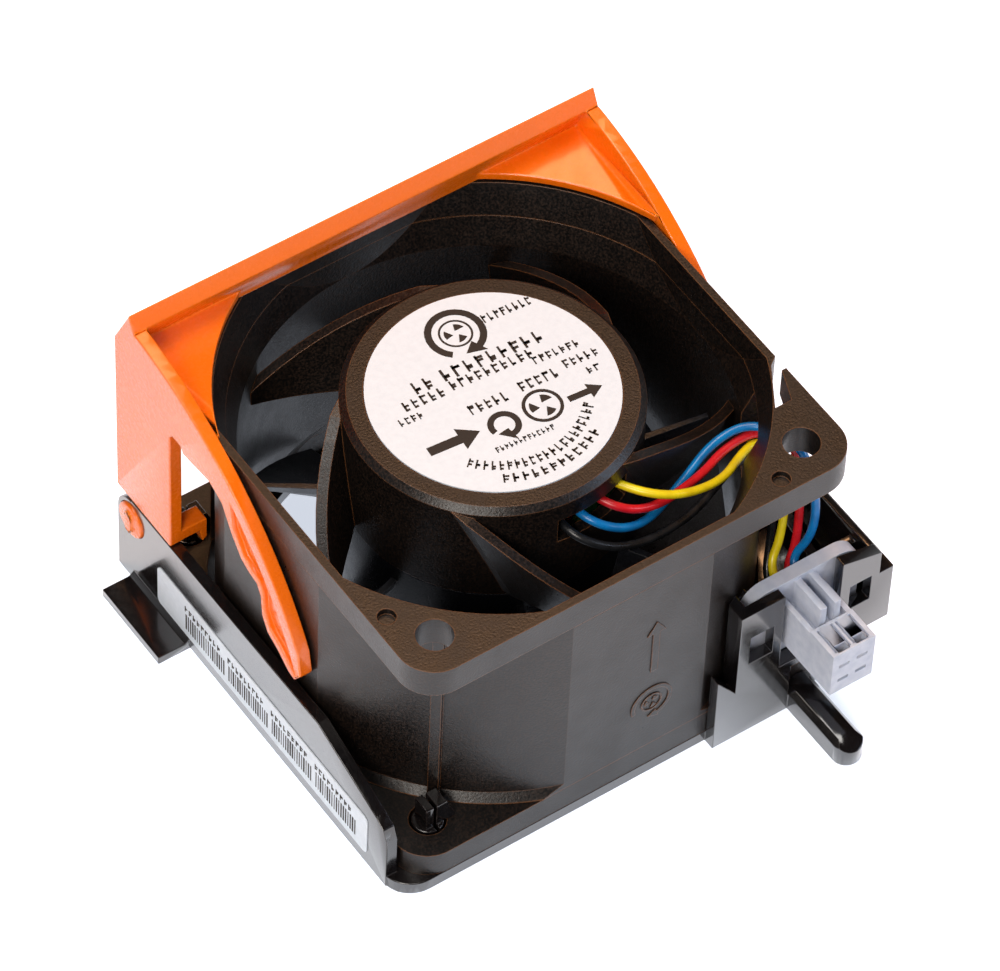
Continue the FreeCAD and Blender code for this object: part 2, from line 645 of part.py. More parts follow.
blades = [shaped("blade_%d" % i, blade)
          for i, blade in enumerate(around_axis(rotor_blade(), s.blade_count))]
impeller = fuse("impeller", rotor_cup, *blades)
impeller.Refine = False
node("impeller", impeller)
node("rotor_yoke", turned("rotor_yoke", [
    (yoke_inner, floor_top), (yoke_outer, floor_top), (yoke_outer, rotor_high - s.yoke_drop),
    (yoke_inner, rotor_high - s.yoke_drop)]))
node("magnet_ring", turned("magnet_ring", [
    (magnet_inner, rotor_low + s.magnet_lift), (yoke_inner, rotor_low + s.magnet_lift),
    (yoke_inner, rotor_high - s.magnet_drop), (magnet_inner, rotor_high - s.magnet_drop)]))

clip_low = upper_seat + s.bearing_width + s.clip_play
shaft_top = clip_low + s.clip_thick + s.shaft_end
groove = s.shaft_radius - s.shaft_groove
node("rotor_shaft", turned("rotor_shaft", [
    (0, rotor_low + s.shaft_foot), (s.shaft_radius, rotor_low + s.shaft_foot),
    (s.shaft_radius, clip_low), (groove, clip_low), (groove, clip_low + s.clip_thick),
    (s.shaft_radius - 0.1, clip_low + s.clip_thick), (s.shaft_radius - 0.2, shaft_top),
    (0, shaft_top)]))
clip_ring = cut("clip_ring", rod("clip_disc", groove + s.clip_reach, clip_low,
                                 clip_low + s.clip_thick),
                rod("clip_bore", groove, clip_low, clip_low + s.clip_thick),
                box("clip_mouth", (0, groove + s.clip_reach), (-s.clip_mouth / 2, s.clip_mouth / 2),
                    (clip_low, clip_low + s.clip_thick)))
node("shaft_clip", clip_ring)


def coil_spring():
    """A round-wire compression spring between the rotor's boss and the lower inner race."""
    wire = s.spring_wire.value
    radius = s.shaft_radius.value + wire / 2 + s.spring_play.value
    low = boss_top.value + wire / 2
    travel = lower_seat.value - boss_top.value - wire
    helix = Part.makeHelix(travel / s.spring_turns.value, travel, radius)
    helix.translate(Vector(0, 0, low))
    start = Vector(radius, 0, low)
    section = Part.Wire([Part.makeCircle(wire / 2, start, Vector(0, 1, 0))])
    return Part.Wire(helix).makePipeShell([section], True, True)


node("preload_spring", shaped("preload_spring", coil_spring()))

# ---------------------------------------------------------------- bracket

inner_wall = s.wall_outer - s.wall_thick
base_front = s.pocket_front + s.pocket_wall
base_plate = prism("base_plate", "XY_Plane", 0, s.base_thick, [
    (-s.wall_outer, base_front), (s.wall_outer, base_front), (s.wall_outer, s.wall_back),
    (-s.wall_outer, s.wall_back)])
round_edges(base_plate, "base_corners", s.corner_round - 0.5,
            lambda edge: upright(edge) and edge.Vertexes[0].Point.y < 0)

wall_profile = [
    (s.wall_front, 0), (s.wall_back, 0), (s.wall_back, s.pivot_height),
    (s.pivot_back, s.wall_height), (s.wall_kink, s.wall_height + s.wall_kink_rise),
    (s.wall_nose, s.wall_nose_height), (s.wall_front + 0.8, s.wall_nose_height - 0.9),
    (s.wall_front, s.wall_nose_low)]
pivot_round = s.wall_back - s.pivot_back
bracket_walls = []
bracket_bores = []
rails = []
for side, sign in (("left", -1), ("right", 1)):
    low, high = (-s.wall_outer, -inner_wall) if sign < 0 else (inner_wall, s.wall_outer)
    bracket_walls.append(prism("wall_" + side, "YZ_Plane", low, high, wall_profile))
    bracket_walls.append(rod_along_x("wall_round_" + side, pivot_round, low, high,
                                     s.pivot_back, s.pivot_height))
    bracket_bores.append(rod_along_x("pivot_bore_" + side, s.pin_radius + s.pin_play,
                                     low - 1, high + 1, s.pivot_back, s.pivot_height))
    rail_out = s.wall_outer + s.rail_reach
    fillet_out = s.wall_outer + s.rail_fillet
    rail_points = [(sign * inner_wall, 0), (sign * rail_out, 0), (sign * rail_out, s.rail_thick),
                   (sign * fillet_out, s.rail_thick),
                   (sign * s.wall_outer, s.rail_thick + s.rail_fillet),
                   (sign * inner_wall, s.rail_thick + s.rail_fillet)]
    rails.append(prism("rail_" + side, "XZ_Plane", -s.rail_end, -s.rail_start, rail_points))

post_top = waist_low + s.post_play
posts = []
slits = []
for i, (x_side, y_side) in enumerate(((-1, -1), (1, -1), (1, 1), (-1, 1))):
    x, y = x_side * s.hole_pitch / 2, y_side * s.hole_pitch / 2
    posts.append(rod("post_%d" % i, s.post_radius, s.base_thick, post_top, x, y))
    posts.append(prism("barb_%d" % i, "XZ_Plane", -y - s.barb_width / 2, -y + s.barb_width / 2, [
        (x + x_side * s.barb_heel, post_top), (x - x_side * s.barb_reach, post_top),
        (x - x_side * s.barb_reach, post_top + s.barb_step),
        (x - x_side * s.barb_top, post_top + s.barb_height),
        (x + x_side * s.barb_heel, post_top + s.barb_height)]))
    slit_middle = x - x_side * s.slit_place
    slits.append(box("post_slit_%d" % i, (slit_middle - s.post_slit / 2, slit_middle + s.post_slit / 2),
                     (y - s.post_radius, y + s.post_radius),
                     (s.base_thick + s.slit_foot, post_top + s.barb_height)))

front_wall = prism("pocket_front_wall", "XZ_Plane", -base_front, -s.pocket_front, [
    (s.pocket_left, 0), (s.lower_wall_end, 0), (s.lower_wall_end, s.pocket_floor),
    (s.step_right, s.pocket_floor), (s.step_right, s.step_height),
    (s.jamb_right, s.step_height), (s.jamb_right, s.right_post_height - s.right_post_fall),
    (s.jamb_left, s.right_post_height), (s.jamb_left, s.pocket_floor + s.pocket_floor_thick),
    (s.post_right, s.pocket_floor + s.pocket_floor_thick), (s.post_right, s.left_post_height),
    (s.post_left, s.left_post_height), (s.post_left, s.shoulder_notch),
    (s.pocket_left, s.shoulder_height)])
windows = [
    box("left_window", (s.left_window_left, s.left_window_right), (s.pocket_front - 1, base_front + 1),
        (s.left_window_low, s.left_window_high)),
    box("right_window", (s.right_window_left, s.right_window_right),
        (s.pocket_front - 1, base_front + 1), (s.right_window_low, s.right_window_high))]
jaw_front = base_front + s.slot_gap
jaw_back = jaw_front + s.slot_back
floor_high = s.pocket_floor + s.pocket_floor_thick
pocket_parts = [
    cut("pocket_front_pierced", front_wall, *windows),
    box("pocket_floor", (s.post_left, s.step_right), (s.pocket_front, s.pocket_rear),
        (s.pocket_floor, floor_high)),
    box("pocket_left_side", (s.post_left, s.post_left + s.pocket_side), (s.pocket_front, jaw_back),
        (s.pocket_floor, s.left_post_height)),
    box("left_jaw", (s.post_left, s.post_left + s.jaw_reach), (jaw_front, jaw_back),
        (s.pocket_floor, s.left_post_height - 1.5)),
    box("right_jaw", (s.jamb_right - s.jaw_reach, s.jamb_right), (jaw_front, jaw_back),
        (s.pocket_floor, s.left_post_height - 2.5)),
    box("pocket_right_upper", (s.jamb_right - s.pocket_side + 0.6, s.jamb_right),
        (s.pocket_front, s.pocket_rear),
        (s.pocket_floor, s.right_post_height - s.right_post_fall)),
    box("pocket_right_lower", (s.jamb_right, s.step_right), (s.pocket_front, s.pocket_rear),
        (s.pocket_floor, s.step_height))]
pocket = cut("pocket", fuse("pocket_solid", *pocket_parts),
             rod("pocket_duct_clear", s.duct_outer + s.duct_clear, waist_low + s.flange_fillet,
                 waist_high))

guide_right = s.guide_left + s.guide_width
guide_middle = s.guide_left + s.guide_width / 2
nose_back = s.guide_tip + s.guide_width / 2
guide_top = s.guide_height + s.guide_ridge
guide_blade = common(
    "guide_blade",
    prism("guide_section", "XZ_Plane", -base_front, -s.guide_tip, [
        (s.guide_left, 0), (guide_right, 0), (guide_right, s.guide_height - s.guide_chamfer),
        (guide_right - s.guide_chamfer, s.guide_height), (guide_middle, guide_top),
        (s.guide_left + s.guide_chamfer, s.guide_height),
        (s.guide_left, s.guide_height - s.guide_chamfer)]),
    prism("guide_slope", "YZ_Plane", s.guide_left, guide_right, [
        (base_front, 0), (base_front, guide_top), (s.guide_tip + s.guide_slope, guide_top),
        (s.guide_tip, guide_top - s.guide_fall), (s.guide_tip, 0)]),
    fuse("guide_plan", rod("guide_nose", s.guide_width / 2, 0, guide_top, guide_middle, nose_back),
         box("guide_length", (s.guide_left, guide_right), (nose_back, base_front), (0, guide_top))))

node("bracket", cut(
    "bracket",
    fuse("bracket_solid", base_plate, pocket, guide_blade, *(bracket_walls + rails + posts)),
    rod("airway", s.airway_radius, -1, s.base_thick + 0.5), *(bracket_bores + slits)))

# ---------------------------------------------------------------- release handle

handle_inner = s.wall_outer - s.handle_wall
handle_low = s.wall_height + s.handle_gap
lip_top = frame_top + s.lip_rise
lip_front_top = frame_top + s.lip_front_rise
lip_shoulder = frame_top + s.shoulder_rise
slot_top = frame_top - s.slot_drop
arm_centre_height = lip_front_top - s.arm_radius + s.arm_sag
panel_low = frame_top + s.panel_gap
panel_high = panel_low + s.panel_thick
# The arm's lower edge, from the slot to the finger tip, as places along Y and drops below the
# fan's top face.
ARM_EDGE = [(9.9, 4.5), (7.3, 5.7), (5.3, 9.0), (3.2, 11.6), (1.5, 12.4), (0.0, 12.7), (-0.8, 14.1),
            (-1.1, 17.2), (-2.3, 19.2), (-4.5, 20.3), (-6.6, 21.8), (-7.8, 22.1)]
arm_edge = [(y, frame_top - drop) for y, drop in ARM_EDGE]
arm_tip = (-9.1, frame_top - 20.2)
arm_end = (-8.4, frame_top - 16.2)
above_arm = frame_top + 10.2
slot_middle = (s.slot_front + s.slot_rear) / 2
side_outline = [
    (s.wall_back, handle_low), (s.wall_back, lip_shoulder), (s.lip_rear, lip_top),
    (s.lip_front, lip_front_top), (s.lip_front, above_arm), (arm_end[0], above_arm), arm_end,
    arm_tip] + arm_edge[::-1] + [
    (s.slot_front, slot_top - 0.4), (slot_middle - 0.8, slot_top + 0.4),
    (slot_middle + 0.8, slot_top + 0.4), (s.slot_rear, slot_top - 0.4),
    (s.slot_rear, handle_low)]
lip_outline = [
    (s.wall_back, panel_low), (s.wall_back, lip_shoulder), (s.lip_rear, lip_top),
    (s.lip_front, lip_front_top), (s.lip_foot, panel_high), (s.lip_foot, panel_low)]
recess_outline = [(y - 0.6, z + 1.2) for y, z in arm_edge[2:]] + [
    (-7.9, frame_top - 18.3), (-7.4, frame_top - 13.8), (0.0, frame_top - 3.8),
    (6.0, frame_top - 1.3)]
handle_parts = [
    prism("handle_lip", "YZ_Plane", -s.wall_outer, s.wall_outer, lip_outline),
    cut("handle_panel",
        box("panel_plate", (-s.wall_outer, s.wall_outer), (s.panel_front, s.wall_back),
            (panel_low, panel_high)),
        rod("panel_opening", s.panel_cut, panel_low, panel_high))]
for side, sign in (("left", -1), ("right", 1)):
    low, high = (-s.wall_outer, -handle_inner) if sign < 0 else (handle_inner, s.wall_outer)
    plate = common("side_plate_" + side, prism("side_outline_" + side, "YZ_Plane", low, high,
                                               side_outline),
                   fuse("side_limit_" + side,
                        rod_along_x("arm_arc_" + side, s.arm_radius, low, high,
                                    s.arm_centre_back, arm_centre_height),
                        box("side_rear_" + side, (low, high), (s.lip_foot, s.wall_back),
                            (handle_low, lip_shoulder))))
    skin_low = low if sign < 0 else s.wall_outer - s.arm_recess
    recess = common("arm_recess_" + side,
                    prism("recess_outline_" + side, "YZ_Plane", skin_low,
                          skin_low + s.arm_recess, recess_outline),
                    rod_along_x("recess_arc_" + side, s.arm_radius - s.arm_band, skin_low,
                                skin_low + s.arm_recess, s.arm_centre_back,
                                arm_centre_height))
    handle_parts.append(cut("side_" + side, plate, recess))
    ear_out = inner_wall - s.ear_gap
    ear_in = ear_out - s.ear_thick
    ear_low, ear_high = (-ear_out, -ear_in) if sign < 0 else (ear_in, ear_out)
    handle_parts.append(rod_along_x("ear_round_" + side, s.ear_half, ear_low, ear_high,
                                    s.pivot_back, s.pivot_height))
    handle_parts.append(box("ear_" + side, (ear_low, ear_high),
                            (s.pivot_back - s.ear_half, s.pivot_back + s.ear_half),
                            (s.pivot_height, s.pivot_height + s.ear_high)))
    seat_out = ear_out + s.seat_overlap
    seat_low, seat_high = (-seat_out, -ear_in) if sign < 0 else (ear_in, seat_out)
    handle_parts.append(box("ear_seat_" + side, (seat_low, seat_high),
                            (s.pivot_back - s.ear_half, s.pivot_back + s.ear_half),
                            (handle_low, s.pivot_height + s.ear_high)))
    pin_out = s.wall_outer + s.pin_reach
    pin_low, pin_high = (-pin_out, -ear_in) if sign < 0 else (ear_in, pin_out)
    handle_parts.append(rod_along_x("pin_" + side, s.pin_radius, pin_low, pin_high,
                                    s.pivot_back, s.pivot_height))
    ramp_out = pin_out + s.pin_ramp
    ramp_low, ramp_high = (-ramp_out, -s.wall_outer) if sign < 0 else (s.wall_outer, ramp_out)
    for end, rise in (("top", s.ramp_length / 2), ("foot", -s.ramp_length / 2)):
        handle_parts.append(rod_along_x("ramp_%s_%s" % (end, side), s.ramp_width / 2, ramp_low,
                                        ramp_high, s.pivot_back, s.pivot_height + rise))
    handle_parts.append(box("ramp_" + side, (ramp_low, ramp_high),
                            (s.pivot_back - s.ramp_width / 2, s.pivot_back + s.ramp_width / 2),
                            (s.pivot_height - s.ramp_length / 2,
                             s.pivot_height + s.ramp_length / 2)))
    hook_out = handle_inner + s.seat_overlap
    hook_in = handle_inner - s.hook_reach
    hook_low, hook_high = (-hook_out, -hook_in) if sign < 0 else (hook_in, hook_out)
    handle_parts.append(box("hook_shelf_" + side, (hook_low, hook_high),
                            (s.slot_rear, s.slot_rear + s.hook_length), (s.hook_low, s.hook_high)))
    handle_parts.append(prism("hook_tooth_" + side, "XZ_Plane", -(s.slot_rear + s.hook_length),
                              -s.slot_rear, [
        (sign * hook_in, s.hook_low), (sign * (hook_in + s.hook_tooth), s.hook_low),
        (sign * (hook_in + s.hook_tooth * 0.6), s.hook_low - s.hook_drop),
        (sign * hook_in, s.hook_low - s.hook_drop * 0.7)]))
node("handle", fuse("handle", *handle_parts))

# ---------------------------------------------------------------- connector

plug_left = s.plug_centre - s.plug_width / 2
plug_right = s.plug_centre + s.plug_width / 2
plug_top = s.plug_low + s.plug_height
flange_front = s.flange_rear - s.flange_thick
flange_plate = prism("flange_plate", "XZ_Plane", -s.flange_rear, -flange_front, [
    (s.plug_centre - s.flange_width / 2, s.flange_low),
    (s.plug_centre + s.flange_width / 2, s.flange_low),
    (s.plug_centre + s.flange_width / 2, s.flange_top),
    (s.plug_centre - s.flange_width / 2, s.flange_top)])
round_edges(flange_plate, "flange_corners", s.flange_round,
            lambda edge: along_y(edge) and edge.Vertexes[0].Point.z > s.plug_low.value)
block_rear = s.plug_front + s.block_length
plug_parts = [
    flange_plate,
    box("plug_body", (plug_left, plug_right), (s.plug_front, s.flange_rear + s.plug_tail),
        (s.plug_low, plug_top)),
    box("plug_block", (plug_left, plug_right), (s.plug_front, block_rear),
        (plug_top, plug_top + s.block_rise))]
channel = box("plug_channel", (plug_left + s.plug_wall, plug_right - s.plug_wall),
              (block_rear, flange_front), (plug_top - s.channel_depth, plug_top))
ribs = []
for i, sign in enumerate((-1, 1)):
    middle = s.plug_centre + sign * s.rib_space / 2
    ribs.append(box("rib_%d" % i, (middle - s.rib_width / 2, middle + s.rib_width / 2),
                    (s.rib_front, flange_front), (plug_top - s.channel_depth, s.rib_top)))
cells = []
contacts = []
cell_middle = s.plug_low + s.plug_height / 2
for i, (x_side, z_side) in enumerate(((-1, 1), (1, 1), (-1, -1), (1, -1))):
    x = s.plug_centre + x_side * s.cell_pitch / 2
    z = cell_middle + z_side * s.cell_pitch / 2
    half = s.cell_side / 2
    cell_front = s.plug_front + s.face_wall
    cells.append(box("cell_%d" % i, (x - half, x + half), (cell_front, s.flange_rear + s.plug_tail),
                     (z - half, z + half)))
    cells.append(box("cell_slit_%d" % i, (x - half, x + half), (s.plug_front, cell_front),
                     (z - s.cell_slit / 2, z + s.cell_slit / 2)))
    if z_side > 0:
        cells.append(box("cell_light_%d" % i, (x - half, x + half),
                         (s.plug_front + 0.3, s.plug_front + 1.3), (z, plug_top + s.block_rise)))
        for j, edge in enumerate((-1, 1)):
            slit_middle = x + edge * (half + 0.2)
            cells.append(box("top_slit_%d_%d" % (i, j),
                             (slit_middle - s.top_slit / 2, slit_middle + s.top_slit / 2),
                             (s.plug_front + 0.5, block_rear - 0.4),
                             (plug_top - 0.3, plug_top + s.block_rise)))
    outer = s.contact_side / 2
    inner = outer - s.contact_sheet
    contact_rear = cell_front + s.contact_length
    name = "contact_%d" % (i + 1)
    node(name, cut(name, box(name + "_sleeve", (x - outer, x + outer), (cell_front, contact_rear),
                             (z - outer, z + outer)),
                   box(name + "_hollow", (x - inner, x + inner), (cell_front, contact_rear - 1),
                       (z - inner, z + inner))))
    contacts.append((x, contact_rear, z))
node("connector", cut("connector", fuse("connector_solid", cut("plug_channelled", fuse(
    "plug_solid", *plug_parts), channel), *ribs), *cells))

# ---------------------------------------------------------------- leads


def rounded_route(points):
    """Straight runs joined by tangent arcs, each as large as its two runs allow."""
    edges = []
    start = points[0]
    for before, corner, after in zip(points, points[1:], points[2:]):
        back = (before - corner).normalize()
        ahead = (after - corner).normalize()
        half_turn = (math.pi - back.getAngle(ahead)) / 2
        trim = 0.45 * min((before - corner).Length, (after - corner).Length)
        radius = trim / math.tan(half_turn)
        entry = corner + back * trim
        leave = corner + ahead * trim
        middle = corner + (back + ahead).normalize() * (
            math.hypot(trim, radius) - radius)
        edges.append(Part.makeLine(start, entry))
        edges.append(Part.Arc(entry, middle, leave).toShape())
        start = leave
    edges.append(Part.makeLine(start, points[-1]))
    return Part.Wire(edges)


def lead_tube(points):
    """A round lead swept along its route."""
    route = rounded_route(points)
    direction = points[1] - points[0]
    section = Part.Wire([Part.makeCircle(s.lead_radius.value, points[0], direction)])
    return route.makePipeShell([section], True, True), route.Length


def lead_route(turn, height, middle, contact):
    """From the board, up and out of the lead door, across the duct and down to a contact."""
    x, rear, z = (float(value) for value in contact)
    inside = s.lead_inside.value
    points = [polar(inside, turn, board_top.value), polar(inside, turn, height),
              polar(s.hub_radius.value + 1.0, turn, height)]
    points += [Vector(*point) for point in middle]
    points += [Vector(x, rear + s.lead_entry.value, z), Vector(x, rear, z)]
    return points


# Each lead's place on the hub, its contact, and the corners of its route.
LEADS = {
    "lead_yellow": (-68.3, 35.6, 0, [
        (11.0, -20.6, 34.9), (17.8, -20.2, 32.6), (23.0, -16.9, 30.5), (25.9, -15.9, 30.4),
        (27.9, -18.9, 29.9), (25.7, -22.8, 21.5)]),
    "lead_red": (-77.8, 35.2, 3, [
        (8.5, -19.6, 33.2), (16.5, -17.8, 31.8), (21.5, -15.7, 31.5), (26.0, -15.6, 31.8),
        (29.5, -19.4, 31.8), (27.6, -23.4, 19.5)]),
    "lead_black": (-95.1, 33.9, 2, [
        (4.0, -21.3, 30.6), (13.5, -20.5, 29.2), (20.8, -17.0, 28.6), (25.6, -15.9, 28.9),
        (27.35, -18.1, 28.6), (25.2, -21.2, 19.0)]),
    "lead_blue": (-87.2, 34.6, 1, [
        (6.5, -20.2, 31.6), (14.5, -16.8, 30.6), (20.5, -14.8, 32.7), (25.9, -15.3, 33.2),
        (28.9, -21.8, 33.0), (28.6, -25.6, 22.5)]),
}
for name, (turn, height, contact, middle) in LEADS.items():
    tube, length = lead_tube(lead_route(turn, height, middle, contacts[contact]))
    section = math.pi * s.lead_radius.value ** 2
    print("%s: route %.1f mm, volume over section times length %.4f"
          % (name, length, tube.Volume / (section * length)))
    node(name, shaped(name, tube))

# ---------------------------------------------------------------- labels

label_low = hub_face - s.label_recess
node("motor_label", rod("motor_label", s.label_radius, label_low, label_low + s.label_thick))
strip = prism("strip_outline", "YZ_Plane", -(s.wall_outer + s.strip_thick), -s.wall_outer, [
    (s.strip_front, s.strip_low), (s.strip_front + s.strip_length, s.strip_low),
    (s.strip_front + s.strip_length, s.strip_low + s.strip_height),
    (s.strip_front, s.strip_low + s.strip_height)])
round_edges(strip, "strip_corners", s.strip_round, lambda edge: along_x(edge))
node("bracket_label", strip)

# ---------------------------------------------------------------- check and write

doc.recompute()
failed = [thing.Name for thing in doc.Objects if "Invalid" in thing.State or "Error" in thing.State]
if failed:
    raise RuntimeError("features that failed: " + ", ".join(failed))
for name, thing in nodes.items():
    shape = thing.Shape
    if shape.isNull() or not shape.isValid() or shape.Volume <= 0:
        raise RuntimeError("bad solid: " + name)
os.makedirs("parts", exist_ok=True)
for name, thing in nodes.items():
    thing.Shape.exportStep("parts/%s.step" % name)
print("%d nodes written" % len(nodes))
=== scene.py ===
# %% [markdown]
# # A server fan module
# The imported model comes in first as a fixed frame, in metres. Everything after it is placed from
# that frame, so nothing has to be fitted by eye. The box of the bare model is kept, and the floor
# is laid just under it.

# %% Load the model
import math

import bmesh
import bpy
from mathutils import Matrix, Vector


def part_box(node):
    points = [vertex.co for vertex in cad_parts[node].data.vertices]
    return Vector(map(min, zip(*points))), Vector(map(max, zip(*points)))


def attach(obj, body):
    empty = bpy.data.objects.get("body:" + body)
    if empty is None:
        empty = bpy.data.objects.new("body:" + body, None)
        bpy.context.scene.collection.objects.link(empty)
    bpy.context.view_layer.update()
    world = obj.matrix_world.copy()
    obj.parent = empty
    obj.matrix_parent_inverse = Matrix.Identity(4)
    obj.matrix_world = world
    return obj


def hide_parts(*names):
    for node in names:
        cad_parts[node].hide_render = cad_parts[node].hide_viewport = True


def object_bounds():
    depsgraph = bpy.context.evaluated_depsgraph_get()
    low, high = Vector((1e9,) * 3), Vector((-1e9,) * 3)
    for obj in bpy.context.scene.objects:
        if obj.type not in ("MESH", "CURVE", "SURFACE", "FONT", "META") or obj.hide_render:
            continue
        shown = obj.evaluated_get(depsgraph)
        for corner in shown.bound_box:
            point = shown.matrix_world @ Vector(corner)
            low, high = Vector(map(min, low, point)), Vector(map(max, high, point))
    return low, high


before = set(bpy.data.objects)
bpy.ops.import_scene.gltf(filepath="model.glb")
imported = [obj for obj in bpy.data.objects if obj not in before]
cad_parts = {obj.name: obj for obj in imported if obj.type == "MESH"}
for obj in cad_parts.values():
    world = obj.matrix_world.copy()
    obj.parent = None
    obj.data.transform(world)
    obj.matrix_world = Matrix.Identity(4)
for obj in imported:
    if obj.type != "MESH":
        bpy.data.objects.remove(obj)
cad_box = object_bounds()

MM = 0.001
scene = bpy.context.scene
scene.view_settings.view_transform = "Standard"
print("the bare model reaches from", cad_box[0], "to", cad_box[1])

# %% [markdown]
# ## Camera
# A long lens keeps the sides of a small product almost parallel. The camera is placed by two
# angles, a distance and a small roll, which is how a tripod head is set.

# %% Camera
AZIMUTH = math.radians(-36.768)
ELEVATION = math.radians(51.085)
ROLL = math.radians(2.834)
DISTANCE = 787.05 * MM
AIM = Vector((2.177, 0.744, 20.8)) * MM
LENS = 245.3
SENSOR_WIDTH = 36.0
NEAREST = 50 * MM


def camera_at(azimuth, elevation, roll, distance, aim):
    """A camera that looks at aim from those angles, turned about its own axis by roll."""
    back = Vector((math.sin(azimuth) * math.cos(elevation),
                   -math.cos(azimuth) * math.cos(elevation), math.sin(elevation)))
    level = Vector((0, 0, 1)).cross(back).normalized()
    upward = back.cross(level)
    right = level * math.cos(roll) + upward * math.sin(roll)
    up = upward * math.cos(roll) - level * math.sin(roll)
    turned = Matrix((right, up, back)).transposed().to_4x4()
    data = bpy.data.cameras.new("camera")
    data.lens = LENS
    data.sensor_width = SENSOR_WIDTH
    data.clip_start = NEAREST
    camera = bpy.data.objects.new("camera", data)
    camera.matrix_world = Matrix.Translation(aim + back * distance) @ turned
    scene.collection.objects.link(camera)
    return camera


scene.camera = camera_at(AZIMUTH, ELEVATION, ROLL, DISTANCE, AIM)
print("camera", round(DISTANCE / MM), "mm away")

# %% [markdown]
# ## Small helpers
# Colours are written as the hex codes that an image editor shows. The renderer works with linear
# light, so one function turns a code to linear. Another adds one shader node with its settings and
# its links, which keeps a material readable from top to bottom.

# %% Colour and node helpers


def linear(code, alpha=1.0):
    """An sRGB hex code as a linear colour."""
    parts = [int(code[i:i + 2], 16) / 255 for i in (1, 3, 5)]
    parts = [p / 12.92 if p <= 0.04045 else ((p + 0.055) / 1.055) ** 2.4 for p in parts]
    return (*parts, alpha)


def add(tree, kind, inputs=None, **settings):
    """Adds a node. An input is given a value, or another node's output to link."""
    made = tree.nodes.new(kind)
    for name, value in settings.items():
        setattr(made, name, value)
    for key, value in (inputs or {}).items():
        if isinstance(value, bpy.types.NodeSocket):
            tree.links.new(value, made.inputs[key])
        else:
            made.inputs[key].default_value = value
    return made


def new_material(name):
    """A material with a Principled shader. Returns the material, its tree and the shader."""
    material = bpy.data.materials.new(name)
    material.use_nodes = True
    tree = material.node_tree
    tree.nodes.clear()
    shader = add(tree, "ShaderNodeBsdfPrincipled")
    add(tree, "ShaderNodeOutputMaterial", {"Surface": shader.outputs[0]})
    return material, tree, shader


def place(tree):
    """Where a point lies on the object, in metres."""
    return add(tree, "ShaderNodeTexCoord").outputs["Object"]


def speckle(tree, size_mm, detail=2.0):
    """Noise whose lumps are about size_mm across."""
    return add(tree, "ShaderNodeTexNoise", {"Vector": place(tree), "Scale": 1 / (size_mm * MM),
                                            "Detail": detail}).outputs[0]


def spread(tree, value, low, high, start=0.3, end=0.7):
    """value from start to end, mapped to low to high."""
    return add(tree, "ShaderNodeMapRange", {"Value": value, "From Min": start, "From Max": end,
                                            "To Min": low, "To Max": high}).outputs[0]


def between(tree, share, first, second):
    """A colour between two, by share."""
    return add(tree, "ShaderNodeMix", {"Factor": share, 6: first, 7: second},
               data_type="RGBA").outputs[2]


def relief(tree, height, depth_mm, normal=None):
    """A bump of that depth."""
    inputs = {"Height": height, "Strength": 1.0, "Distance": depth_mm * MM}
    if normal is not None:
        inputs["Normal"] = normal
    return add(tree, "ShaderNodeBump", inputs).outputs[0]


def rounded(tree, radius_mm):
    """The normals that a small radius along every edge would give."""
    return add(tree, "ShaderNodeBevel", {"Radius": radius_mm * MM}, samples=4).outputs[0]


# The paler colour that the finishes mix in along edges is a painted highlight: the line of light
# that a small radius catches.
EDGE_HIGHLIGHT_MOST = 0.6


def edge_highlight_share(tree, radius_mm):
    """How much painted highlight a point takes: the most on an edge and 0 on the flats, found from
    a rounded normal.
    """
    flat = add(tree, "ShaderNodeNewGeometry").outputs["Normal"]
    same = add(tree, "ShaderNodeVectorMath", {0: rounded(tree, radius_mm), 1: flat},
               operation="DOT_PRODUCT").outputs["Value"]
    return spread(tree, same, EDGE_HIGHLIGHT_MOST, 0, 0.75, 0.995)


# %% [markdown]
# ## Leads
# Four thin flexible wires run from the motor's circuit board, over the rotor, out through a window
# in the duct and down to the connector. Each is one smooth spline with a round section. The points
# are the corners of the route, in millimetres, and a spline of order three cuts smoothly inside
# them.

# %% Lead routes
LEAD_RADIUS = 0.52
HUB_RADIUS = 17.5
BOARD_TOP = 27.2
BOARD_REACH = 12.2
CONTACT_REAR = -30.0
LEAD_IN = 5.8
LEADS = {
    "lead_yellow": (-68.3, 35.6, (22.23, 16.67), [
        (11.0, -20.6, 34.9), (17.8, -20.2, 32.6), (23.0, -16.9, 30.5), (25.9, -15.9, 30.4),
        (27.9, -18.9, 29.9), (25.7, -22.8, 21.5)]),
    "lead_red": (-77.8, 35.2, (24.77, 14.13), [
        (8.5, -19.6, 33.2), (16.5, -17.8, 31.8), (21.5, -15.7, 31.5), (26.0, -15.6, 31.8),
        (29.5, -19.4, 31.8), (27.6, -23.4, 19.5)]),
    "lead_black": (-95.1, 33.9, (22.23, 14.13), [
        (4.0, -21.3, 30.6), (13.5, -20.5, 29.2), (20.8, -17.0, 28.6), (25.6, -15.9, 28.9),
        (27.35, -18.1, 28.6), (25.2, -21.2, 19.0)]),
    "lead_blue": (-87.2, 34.6, (24.77, 16.67), [
        (6.5, -20.2, 31.6), (14.5, -16.8, 30.6), (20.5, -14.8, 32.7), (25.9, -15.3, 33.2),
        (28.9, -21.8, 33.0), (28.6, -25.6, 22.5)]),
}


